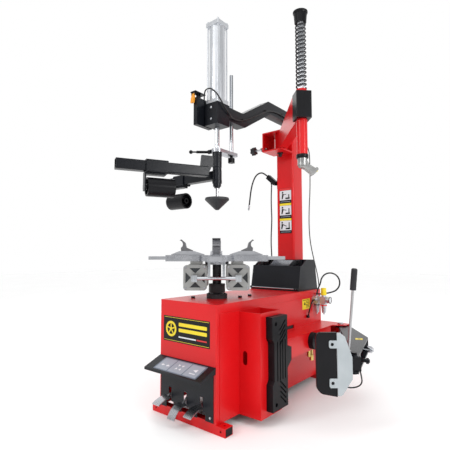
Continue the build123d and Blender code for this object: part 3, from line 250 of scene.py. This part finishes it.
sheet_steel = surface(
    "sheet_steel", (0.46, 0.50, 0.52), (0.38, 0.42, 0.44), metallic=0.55, rough=(0.36, 0.48), patch=8.0,
    grain=520.0, stretch=(1, 1, 0.1), depth=0.0001)
cast_metal = surface(
    "cast_metal", (0.46, 0.46, 0.45), (0.24, 0.24, 0.24), metallic=1.0, rough=(0.26, 0.46), patch=28.0,
    grain=500.0, depth=0.0006, strength=0.5)
aluminium = surface(
    "aluminium", (0.66, 0.68, 0.71), (0.54, 0.56, 0.59), metallic=0.75, rough=(0.26, 0.38), patch=5.0,
    grain=600.0, stretch=(1, 1, 0.04), depth=0.0001)
spring_steel = surface(
    "spring_steel", (0.05, 0.052, 0.056), (0.03, 0.031, 0.034), metallic=0.7, rough=(0.2, 0.3), grain=700.0)
# Cast iron for the drive units, also used as painted shade on the floors of the clamp caps' sunk fields.
iron_and_shade = surface(
    "cast_iron", IRON_AND_SHADE, (0.03, 0.032, 0.036), metallic=0.4, rough=(0.5, 0.7), grain=400.0, depth=0.001,
    strength=0.5)
brass = surface(
    "brass", (0.70, 0.52, 0.18), (0.54, 0.38, 0.10), metallic=1.0, rough=(0.2, 0.34), patch=30.0)
yellow = surface(
    "yellow_plastic", (0.86, 0.68, 0.03), (0.76, 0.58, 0.02), rough=(0.3, 0.42), gloss=0.35)
orange = surface(
    "orange_plastic", (0.86, 0.36, 0.03), (0.72, 0.28, 0.02), rough=(0.3, 0.42), gloss=0.35)
white_film = surface(
    "white_film", (0.72, 0.73, 0.76), (0.66, 0.67, 0.70), rough=(0.3, 0.42), patch=25.0, depth=FILM_DEPTH)
black_film = surface(
    "black_film", (0.008, 0.008, 0.009), (0.005, 0.005, 0.006), rough=(0.28, 0.4), depth=FILM_DEPTH,
    gloss=0.2)
red_film = surface(
    "red_film", (0.70, 0.02, 0.02), (0.62, 0.015, 0.015), rough=(0.3, 0.42), depth=FILM_DEPTH)
blue_film = surface(
    "blue_film", (0.14, 0.17, 0.22), (0.10, 0.13, 0.18), rough=(0.3, 0.42), depth=FILM_DEPTH)
grey_film = surface(
    "grey_film", (0.33, 0.37, 0.43), (0.27, 0.31, 0.37), rough=(0.3, 0.42), depth=FILM_DEPTH)

jaw_finish = two_zone(
    "jaw_finish", along("Z"), 0.7757, (STEEL, 1.0, 0.32), ((0.20, 0.20, 0.21), 0.9, 0.36))
handle_finish = two_zone(
    "handle_finish", along("Z"), 0.601, ((0.50, 0.50, 0.51), 0.9, 0.34), (BLACK, 0.0, 0.42))
fastener_finish = two_zone(
    "fastener_finish", along("Z"), 0.49, (STEEL, 1.0, 0.36), (BLACK, 0.2, 0.42))
knob_finish = two_zone(
    "knob_finish", along("X"), -0.150, (BLACK, 0.0, 0.45), ((0.60, 0.60, 0.62), 1.0, 0.25))
chuck_finish = two_zone(
    "chuck_finish", away_from(0, -0.288), 0.046, (BLACK, 0.1, 0.42), ((0.42, 0.42, 0.41), 0.95, 0.34))
cone_finish = two_zone(
    "cone_finish", along("Z"), 1.0473, ((0.028, 0.029, 0.032), 0.0, 0.5), ((0.66, 0.66, 0.68), 1.0, 0.18))

FINISHES = {
    red_paint: ("cabinet_shell", "foot_rails", "pad_bracket", "side_box", "column", "swing_arm"),
    black_paint: ("front_cover", "pedal_hood", "tool_tray", "helper_arm", "tool_tube", "roller_arm_1",
                  "roller_arm_2", "slider_1", "slider_2", "control_box", "breaker_arm"),
    black_plastic: ("hose_block", "lock_box", "shaft_cap", "plate_knob", "lock_handle", "roller_drum_1",
                    "roller_drum_2", "blade_guard"),
    rubber: ("rubber_pads",),
    hose_rubber: ("arm_cable",),
    chrome: ("chuck_yoke", "press_rods", "breaker_rod"),
    steel: ("pedal_left", "pedal_middle", "pedal_right", "turntable", "press_plate"),
    sheet_steel: ("breaker_blade",),
    cast_metal: ("mount_head",),
    aluminium: ("press_cylinder", "frl_unit", "hex_shaft"),
    iron_and_shade: ("drive_units",),
    brass: ("drain_fittings",),
    yellow: ("regulator_knob",),
    orange: ("control_lever",),
    jaw_finish: ("jaw_1", "jaw_2", "jaw_3", "jaw_4"),
    handle_finish: ("breaker_handle",),
    fastener_finish: ("base_fasteners",),
    knob_finish: ("stop_screw",),
    chuck_finish: ("chuck_unit",),
    cone_finish: ("cone",),
}
for finish, members in FINISHES.items():
    for member in members:
        data = nodes[member].data
        if not data.materials:
            data.materials.append(finish)
        for index in range(len(data.materials)):
            data.materials[index] = finish


# ---------------------------------------------------------------- mesh helpers
def piece(name, mesh, material, body):
    """An object from a mesh with its one material, riding on a body."""
    made = bpy.data.objects.new(name, mesh)
    bpy.context.scene.collection.objects.link(made)
    mesh.materials.append(material)
    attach(made, body)
    return made


def frame_matrix(origin, x_dir, z_dir):
    """Local axes at a place in millimetres: x_dir across, z_dir out of the face."""
    z_axis = Vector(z_dir).normalized()
    x_axis = Vector(x_dir).normalized()
    y_axis = z_axis.cross(x_axis).normalized()
    x_axis = y_axis.cross(z_axis)
    matrix = Matrix.Identity(4)
    for row in range(3):
        matrix[row][0] = x_axis[row]
        matrix[row][1] = y_axis[row]
        matrix[row][2] = z_axis[row]
        matrix[row][3] = origin[row]
    return matrix


def slabs_mesh(name, matrix, outlines, thickness, lift=0.0):
    """Thin plates with the given outlines, raised from one face."""
    mesh = bpy.data.meshes.new(name)
    shape = bmesh.new()
    for points in outlines:
        low = [shape.verts.new((matrix @ Vector((x, y, lift))) * MM) for x, y in points]
        high = [shape.verts.new((matrix @ Vector((x, y, lift + thickness))) * MM) for x, y in points]
        shape.faces.new(high)
        shape.faces.new(low[::-1])
        for index in range(len(points)):
            after = (index + 1) % len(points)
            shape.faces.new((low[index], low[after], high[after], high[index]))
    bmesh.ops.recalc_face_normals(shape, faces=shape.faces)
    shape.to_mesh(mesh)
    shape.free()
    return mesh


def rounded(left, low, right, high, radius=2.0, steps=5):
    """A rectangle with rounded corners, counter-clockwise."""
    corners = ((right - radius, low + radius, -90), (right - radius, high - radius, 0),
               (left + radius, high - radius, 90), (left + radius, low + radius, 180))
    points = []
    for x, y, start in corners:
        for step in range(steps + 1):
            turn = math.radians(start + 90 * step / steps)
            points.append((x + radius * math.cos(turn), y + radius * math.sin(turn)))
    return points


def round_point(x, y, radius, turn):
    return x + radius * math.cos(turn), y + radius * math.sin(turn)


def disc(x, y, radius, count=20):
    return [round_point(x, y, radius, 2 * math.pi * k / count) for k in range(count)]


def ring(x, y, inner, outer, count):
    """A flat ring as a row of small quads."""
    quads = []
    for k in range(count):
        turn = 2 * math.pi * k / count
        after = 2 * math.pi * (k + 1) / count
        quads.append([round_point(x, y, outer, turn), round_point(x, y, outer, after),
                      round_point(x, y, inner, after), round_point(x, y, inner, turn)])
    return quads


def lathe(name, matrix, profile, material, body, count=40):
    """A turned piece from (radius, height) points; it closes on its axis."""
    mesh = bpy.data.meshes.new(name)
    shape = bmesh.new()
    rings = []
    for radius, height in profile:
        if radius < 1e-6:
            rings.append([shape.verts.new((matrix @ Vector((0, 0, height))) * MM)])
            continue
        rings.append([shape.verts.new((matrix @ Vector((x, y, height))) * MM)
                      for x, y in disc(0, 0, radius, count)])
    for lower, upper in zip(rings, rings[1:]):
        for k in range(count):
            after = (k + 1) % count
            if len(lower) == 1:
                shape.faces.new((lower[0], upper[after], upper[k]))
            elif len(upper) == 1:
                shape.faces.new((lower[k], lower[after], upper[0]))
            else:
                shape.faces.new((lower[k], lower[after], upper[after], upper[k]))
    bmesh.ops.recalc_face_normals(shape, faces=shape.faces)
    shape.to_mesh(mesh)
    shape.free()
    mesh.shade_smooth()
    mesh.set_sharp_from_angle(angle=math.radians(40))
    return piece(name, mesh, material, body)


def labels(name, matrix, layers, body):
    """Printed panels as very thin layers: (suffix, material, outlines)."""
    made = []
    for level, (suffix, material, outlines) in enumerate(layers):
        mesh = slabs_mesh(f"{name}_{suffix}", matrix, outlines, 0.25, 0.2 * level)
        made.append(piece(f"{name}_{suffix}", mesh, material, body))
    return made


# ---------------------------------------------------------------- hoses
def hose(name, points, diameter):
    """A round tube along its route."""
    data = bpy.data.curves.new(name, "CURVE")
    data.dimensions = "3D"
    data.resolution_u = 10
    data.bevel_depth = diameter * MM / 2
    data.bevel_resolution = 5
    data.use_fill_caps = True
    spline = data.splines.new("NURBS")
    spline.points.add(len(points) - 1)
    for point, place in zip(spline.points, points):
        point.co = (*(Vector(place) * MM), 1)
    spline.order_u = 3
    spline.use_endpoint_u = True
    data.materials.append(hose_rubber)
    made = bpy.data.objects.new(name, data)
    bpy.context.scene.collection.objects.link(made)
    return made


# Each hose's diameter, length, body and route, in millimetres except the length, which is in metres.
HOSES = {
    "inflator_hose": (10, 0.332, "base", [
        (-132.2, 390, 1279.2), (-153, 389, 1298), (-186, 386, 1316), (-226, 384, 1302), (-254, 384, 1256),
        (-270, 384, 1200), (-278, 384, 1146), (-287, 384, 1086)]),
    "drop_hose": (8, 0.683, "base", [
        (-104, 390, 1225.5), (-105, 388, 1180), (-106, 386, 1122), (-104, 384, 1062), (-101, 384, 1002),
        (-102, 382, 942), (-105, 380, 882), (-107, 382, 822), (-105, 384, 762), (-103, 384, 702),
        (-104, 386, 642), (-106, 386, 590), (-106, 386, 543)]),
    "column_hose": (6, 1.096, "base", [
        (62.9, 478, 1500), (100, 482, 1492), (122, 490, 1440), (125, 494, 1384), (124, 495, 1322),
        (124, 496, 1262), (123, 496, 1202), (121, 495, 1142), (118, 492, 1082), (116, 490, 1022),
        (115, 489, 962), (116, 490, 902), (119, 494, 842), (125, 500, 790), (133, 507, 738),
        (142, 514, 688), (149, 522, 640), (154, 530, 592), (152, 540, 548), (144, 544, 508),
        (138, 532, 476), (136, 501.3, 466)]),
    "loop_hose": (9, 0.443, "base", [
        (205, 400, 514.2), (207, 406, 544), (216, 428, 578), (220, 433, 610), (236, 446, 637),
        (264, 469, 647), (291, 492, 634), (307, 505, 603), (306, 505, 566), (288, 490, 536),
        (260, 467, 525), (232, 449, 519), (206, 441, 515), (180.6, 440, 514.5)]),
    "breaker_hose": (6, 0.294, "breaker", [
        (646, -92, 261), (650, -89, 236), (652, -86, 208), (634, -90, 188), (600, -104, 180),
        (566, -96, 184), (546, -64, 196), (542, -26, 214), (554, 4, 236), (560, 14, 260)]),
}

inflator_end = HOSES["inflator_hose"][3][-1]
inflator_run = Vector(inflator_end) - Vector(HOSES["inflator_hose"][3][-2])
nozzle = lathe("inflator_nozzle", frame_matrix(inflator_end, (0, 1, 0), inflator_run),
               [(0, -12), (6.4, -12), (6.8, -9), (6.8, 2), (5.2, 4), (5.2, 10), (6.6, 11), (6.6, 18),
                (4.2, 20), (3.6, 26), (0, 26)], chrome, "base", 24)
for hose_name, (diameter, length, body, route) in HOSES.items():
    made = hose(hose_name, route, diameter)
    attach(made, body)
    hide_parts(hose_name)


# ---------------------------------------------------------------- printed panels
PLATE_FACE = -500
EMBLEM = (-104, 407)
SPOKE_COUNT = 5


def make_name_plate():
    """A blank black plate with a plain wheel emblem and bars."""
    plate_frame = frame_matrix((0, PLATE_FACE, 0), (1, 0, 0), (0, -1, 0))
    print_frame = frame_matrix((0, PLATE_FACE - 0.3, 0), (1, 0, 0), (0, -1, 0))
    plate = labels("name_plate", plate_frame, [("base", black_film, [rounded(-156, 348, 144, 466, 4)])],
                   "base")[0]
    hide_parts("panels")
    border = [rounded(-150, 353, 138, 354.6, 0.7), rounded(-150, 459.4, 138, 461, 0.7)]
    spokes = []
    for k in range(SPOKE_COUNT):
        turn = math.radians(90 + 360 / SPOKE_COUNT * k)
        side_x = -math.sin(turn) * 3
        side_y = math.cos(turn) * 3
        inner = round_point(*EMBLEM, 7, turn)
        outer = round_point(*EMBLEM, 24, turn)
        spokes.append([(inner[0] - side_x, inner[1] - side_y), (outer[0] - side_x, outer[1] - side_y),
                       (outer[0] + side_x, outer[1] + side_y), (inner[0] + side_x, inner[1] + side_y)])
    wheel = ring(*EMBLEM, 25, 36, 36) + spokes + [disc(*EMBLEM, 8)]
    wide_bars = [rounded(-52, 424, 126, 440, 3), rounded(-52, 398, 126, 414, 3)]
    labels("name_plate_print", print_frame,
           [("yellow", yellow, border + wheel + wide_bars),
            ("red", red_film, [rounded(64, 372, 126, 378, 2)]),
            ("white", white_film, [rounded(-52, 372, 60, 378, 2)])],
           "base")


def make_column_panels():
    """Three plain pictures in a strip, each with a dark foot bar and a coloured head bar."""
    lows = [894 + 98 * k for k in range(3)]
    fields = [rounded(-38, low + 18, 46, low + 80, 1) for low in lows]
    heads = [rounded(-38, low + 81, 46, low + 95, 1) for low in lows]
    feet = [rounded(-32, low + 6, 40, low + 9, 1) for low in lows]
    icons = []
    for k, low in enumerate(lows):
        lean = 3 * k
        icons.append(disc(-22 + lean, low + 68, 6))
        icons.append([(-30 + lean, low + 26), (-22 + lean, low + 26), (-12 + lean, low + 58),
                      (-26 + lean, low + 61)])
        icons.append(rounded(4, low + 24, 36, low + 34, 1))
        icons.append(rounded(26, low + 34, 33, low + 70 - 8 * k, 1))
        icons.append([(-14, low + 52), (10, low + 42 + 6 * k), (12, low + 46 + 6 * k), (-13, low + 57)])
    labels("column_panels", frame_matrix((0, 384, 0), (1, 0, 0), (0, -1, 0)),
           [("frame", black_film, [rounded(-40, 892, 48, 1186, 2)]),
            ("fields", white_film, fields),
            ("icons", black_film, icons),
            ("feet", grey_film, feet),
            ("heads", yellow, heads[:2]),
            ("top", red_film, [heads[2]])],
           "base")


def make_side_label():
    """The yellow label beside the air unit, with a triangle and plain lines."""
    triangle = [(-6, -4), (-28, -4), (-17, 16)]
    lines = [rounded(-2, y, 40, y + 3, 1) for y in (-20, -12, -4, 6, 14)]
    foot_line = rounded(-40, 22, 40, 25, 1)
    labels("side_label", frame_matrix((182, 307, 466), (0, 1, 0), (1, 0, 0)),
           [("base", yellow, [rounded(-46, -29.5, 46, 29.5, 2)]),
            ("print", black_film, [triangle, *lines, foot_line])],
           "base")


def make_arm_label():
    """The diamond label on top of the breaker arm."""
    diamond = [(-28, 0), (0, -32), (28, 0), (0, 32)]
    field = [(-23, 0), (0, -26), (23, 0), (0, 26)]
    mark = [rounded(-8, -2, 8, 2, 1), rounded(-2, -8, 2, 8, 1)]
    labels("arm_label", frame_matrix((545, 170, 336), (0.93, -0.37, 0), (0, 0, 1)),
           [("base", black_film, [diamond]), ("field", yellow, [field]), ("mark", black_film, mark)],
           "breaker")


def make_console_panel():
    """The pictogram panel on the sloping hood, over the three pedals."""
    slope = Vector((0, -98, -38))
    normal = slope.cross(Vector((1, 0, 0)))
    cells = [rounded(left, -38, right, 38, 3) for left, right in ((-118, -42), (-36, 52), (58, 134))]
    arrows = []
    for x in (-96, -64):
        arrows.append([(x - 9, -8), (x + 3, -16), (x + 3, 0)])
        arrows.append(rounded(x + 3, -11, x + 12, -5, 1))
    for k in range(4):
        turn = math.radians(90 * k + 45)
        across = math.cos(turn)
        up = math.sin(turn)
        arrows.append([(8 + 26 * across, 26 * up), (8 + 12 * across - 7 * up, 12 * up + 7 * across),
                       (8 + 12 * across + 7 * up, 12 * up - 7 * across)])
    arrows.append([(112, 14), (88, 4), (112, -6)])
    arrows.append(rounded(82, -20, 116, -15, 1))
    labels("console_panel", frame_matrix((0, -549, 257), (1, 0, 0), normal),
           [("base", blue_film, [rounded(-126, -44, 142, 44, 5)]),
            ("cells", grey_film, cells),
            ("icons", white_film, arrows)],
           "base")


make_name_plate()
make_column_panels()
make_side_label()
make_arm_label()
make_console_panel()


# ---------------------------------------------------------------- tray lining and rail
TRAY_FLOOR = 543
LINING_GAP = 0.5


def make_tray_lining():
    """The bare metal inside of the tray's three wells, a thin skin just off the walls."""
    gap = LINING_GAP
    low = TRAY_FLOOR + gap
    front_foot = 259.6 + gap
    front_head = 290
    top_front = 686
    top_rear = 721
    wells = ((-179 + gap, -69 - gap, True), (69 + gap, 157 - gap, True), (-69 - gap, 69 + gap, False))
    mesh = bpy.data.meshes.new("tray_lining")
    shape = bmesh.new()

    def quad(*corners):
        shape.faces.new([shape.verts.new(Vector(corner) * MM) for corner in corners])

    for left, right, deep in wells:
        rear_low = 496.5 - gap if deep else 375 - gap
        rear_high = 465 if deep else 375 - gap
        quad((left, front_foot, low), (right, front_foot, low), (right, rear_low, low),
             (left, rear_low, low))
        quad((left, front_foot, low), (right, front_foot, low), (right, front_head - 1.5, top_front),
             (left, front_head - 1.5, top_front))
        quad((left, rear_low, low), (right, rear_low, low), (right, rear_high, top_rear),
             (left, rear_high, top_rear))
        if not deep:
            continue
        for x in (left, right):
            quad((x, front_foot, low), (x, rear_low, low), (x, rear_high, top_rear), (x, 358, top_rear),
                 (x, front_head + 8, top_front))
    bmesh.ops.remove_doubles(shape, verts=shape.verts, dist=0.0002)
    shape.to_mesh(mesh)
    shape.free()
    lining = piece("tray_lining", mesh, steel, "base")
    skin = lining.modifiers.new("skin", "SOLIDIFY")
    skin.thickness = 0.0003
    skin.offset = 0


def make_tray_rail():
    """The rod along the tray's foot with its three black knobs."""
    rail_y = 249
    rail_z = 553
    lathe("tray_rail", frame_matrix((-168, rail_y, rail_z), (0, 1, 0), (1, 0, 0)),
          [(0, 0), (4, 0), (4, 318), (0, 318)], chrome, "base", 20)
    for index, x in enumerate((-180, 134, 150)):
        lathe(f"tray_rail_knob_{index + 1}", frame_matrix((x, rail_y, rail_z), (0, 1, 0), (1, 0, 0)),
              [(0, 0), (4.5, 0), (6.8, 2.5), (6.8, 9.5), (4.5, 12), (0, 12)],
              black_plastic, "base", 20)


make_tray_lining()
make_tray_rail()


# ---------------------------------------------------------------- return spring
def make_return_spring():
    """The coil under the cap, built rigid at the length of the CAD spring; the real one closes up as the
    shaft goes down.
    """
    wire = 0.0042
    turns = 16.5
    steps = 24
    sides = 10
    low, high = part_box("hex_spring")
    centre = Vector(((low.x + high.x) / 2, (low.y + high.y) / 2, 0))
    coil_radius = (high.x - low.x) / 2 - wire
    count = int(turns * steps)
    rise = high.z - low.z - 2 * wire
    mesh = bpy.data.meshes.new("return_spring")
    shape = bmesh.new()
    rings = []
    for k in range(count + 1):
        turn = 2 * math.pi * k / steps
        out = Vector((math.cos(turn), math.sin(turn), 0))
        middle = centre + out * coil_radius + Vector((0, 0, low.z + wire + rise * k / count))
        rings.append([shape.verts.new(middle + out * across + Vector((0, 0, up)))
                      for across, up in disc(0, 0, wire, sides)])
    for before, after in zip(rings, rings[1:]):
        for j in range(sides):
            beside = (j + 1) % sides
            shape.faces.new((before[j], before[beside], after[beside], after[j]))
    shape.faces.new(rings[0])
    shape.faces.new(rings[-1][::-1])
    bmesh.ops.recalc_face_normals(shape, faces=shape.faces)
    shape.to_mesh(mesh)
    shape.free()
    mesh.shade_smooth()
    spring = piece("return_spring", mesh, spring_steel, "swing")
    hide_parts("hex_spring")
    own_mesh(spring)


make_return_spring()


# ---------------------------------------------------------------- gauge, fittings and small parts
def make_gauge():
    """The air unit's gauge, its white face in a black bezel."""
    lathe("gauge_face", frame_matrix((290, 400, 487), (0, 1, 0), (1, 0, 0)),
          [(0, 0), (16.5, 0), (16.5, 0.6), (0, 0.6)], white_film, "base", 36)
    lathe("gauge_bezel", frame_matrix((288.5, 400, 487), (0, 1, 0), (1, 0, 0)),
          [(16.8, 0.2), (19.6, 0.2), (20.4, 1.2), (19.6, 3.6), (17.0, 3.6), (16.8, 0.2)],
          black_plastic, "base", 36)


def make_filter_collars():
    """The ring nut round the head of each bowl."""
    for index, (x, finish) in enumerate(((205, black_plastic), (250, red_film))):
        lathe(f"filter_collar_{index + 1}", frame_matrix((x, 400, 452), (1, 0, 0), (0, 0, 1)),
              [(16.4, 0), (18.6, 0.6), (18.6, 6), (16.4, 6.6), (16.4, 0)],
              finish, "base", 30)


def make_tube_collar():
    """The black ring round the foot of the guide tube."""
    low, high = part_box("hex_shaft")
    centre = (low + high) / (2 * MM)
    lathe("tube_collar", frame_matrix((centre.x, centre.y, 1250), (1, 0, 0), (0, 0, 1)),
          [(28.2, 8), (28.2, 20), (30.6, 20), (31.4, 18), (31.4, 2), (30, 0), (26, 0), (26, 7.6),
           (28.2, 8)],
          black_plastic, "swing", 40)


def make_head_insert():
    """The yellow insert in the mount head's bill."""
    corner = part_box("mount_head")[1] / MM
    lathe("head_insert", frame_matrix((corner.x - 24, corner.y - 20, 1186), (0, 0, 1), (0.64, -0.77, 0)),
          [(0, 14.5), (7, 14.5), (9.5, 16), (9.5, 20), (7.5, 21.5), (0, 21.5)],
          yellow, "shaft", 24)


CLAMP_CENTRE = Vector((0, -288, 648))
CLAMP_TURN = math.radians(-50)
CLAMP_SIDE = 102
CAP_FACE = 120
CAP_RECESS = 5.8


def make_clamp_cylinder_caps():
    """The four sunk fields of each clamp cylinder's cap, with painted shade as a thin dark iron film on
    their floors, and its corner bolts.
    """
    arm_way = Vector((math.cos(CLAMP_TURN), math.sin(CLAMP_TURN), 0))
    side_way = Vector((-arm_way.y, arm_way.x, 0))
    fields = []
    for quarter in range(4):
        turned = Matrix.Rotation(math.radians(90 * quarter), 2)
        fields.append([tuple(turned @ Vector(point)) for point in ((20.5, 0), (45.5, -25.6), (45.5, 25.6))])
    for index, side in enumerate((-CLAMP_SIDE, CLAMP_SIDE)):
        face = CLAMP_CENTRE + side_way * side + arm_way * (CAP_FACE - CAP_RECESS)
        # Painted shade: a thin dark iron film on each sunk field's floor stands in for the shadow in the
        # recess.
        labels(f"cap_field_{index + 1}", frame_matrix(face, (0, 0, 1), arm_way), [("floor", iron_and_shade, fields)],
               "table")
        for x in (-49, 49):
            for y in (-45, 45):
                place = face + Vector((0, 0, x)) + side_way * y + arm_way * CAP_RECESS
                lathe(f"cap_bolt_{index + 1}_{x}_{y}", frame_matrix(place, (0, 0, 1), arm_way),
                      [(0, 0), (5.5, 0), (5.5, 3.4), (4.4, 4.4), (2.6, 4.4), (2.6, 2), (0, 2)],
                      steel, "table", 16)


def make_block_screws():
    """Two button-head screws in the front of the helper arm's block."""
    for index, z in enumerate((1510, 1450)):
        lathe(f"block_screw_{index + 1}", frame_matrix((0, -336, z), (1, 0, 0), (0, -1, 0)),
              [(0, 0), (6.5, 0), (6.5, 3), (4.4, 4.6), (2.4, 4.6), (2.4, 2.4), (0, 2.4)],
              steel, "helper", 24)


make_gauge()
make_filter_collars()
make_tube_collar()
make_head_insert()
make_clamp_cylinder_caps()
make_block_screws()


# ---------------------------------------------------------------- floor and light
DIM_SIDE = 0.30
BRIGHT_SIDE = 1.0
FLOOR_HALF = 14


def make_floor():
    """A wide, plain, pale floor just under the feet."""
    mesh = bpy.data.meshes.new("floor")
    shape = bmesh.new()
    bmesh.ops.create_grid(shape, x_segments=1, y_segments=1, size=FLOOR_HALF)
    shape.to_mesh(mesh)
    shape.free()
    floor = bpy.data.objects.new("floor", mesh)
    floor.location.z = -0.0005
    bpy.context.scene.collection.objects.link(floor)
    mesh.materials.append(surface("floor_finish", (0.97, 0.97, 0.97), (0.95, 0.95, 0.95), rough=(0.7, 0.8),
                                  patch=1.5, grain=60.0, depth=0.0005))


def make_world():
    """A white room, bright ahead of the camera and dimmer behind it, so that bare metal keeps its edges."""
    world = bpy.data.worlds.new("studio")
    bpy.context.scene.world = world
    world.use_nodes = True
    tree = world.node_tree
    background = tree.nodes["Background"]
    heading = tree.nodes.new("ShaderNodeTexCoord")
    facing = tree.nodes.new("ShaderNodeVectorMath")
    facing.operation = "DOT_PRODUCT"
    facing.inputs[1].default_value = (-math.sin(CAMERA_AZIMUTH), math.cos(CAMERA_AZIMUTH), 0)
    tree.links.new(heading.outputs["Generated"], facing.inputs[0])
    level = tree.nodes.new("ShaderNodeMapRange")
    level.inputs["From Min"].default_value = -0.5
    level.inputs["From Max"].default_value = 0.55
    level.inputs["To Min"].default_value = DIM_SIDE
    level.inputs["To Max"].default_value = BRIGHT_SIDE
    tree.links.new(facing.outputs["Value"], level.inputs["Value"])
    tree.links.new(level.outputs["Result"], background.inputs["Strength"])
    background.inputs["Color"].default_value = (1, 1, 1, 1)


make_floor()
make_world()
add_sun("fill_sun", (0.35, -0.75, 1.0), 1.6, 80)
add_light("key", (-0.9, -3.4, 2.6), (0.1, 0, 0.9), 1.1, 28)
add_light("side", (3.4, -0.4, 1.8), (0.1, 0, 0.8), 1.0, 40)
add_light("rear", (-2.6, 2.4, 3.2), (0, 0, 1.1), 2.6, 14)
bpy.context.scene.view_settings.view_transform = "Standard"
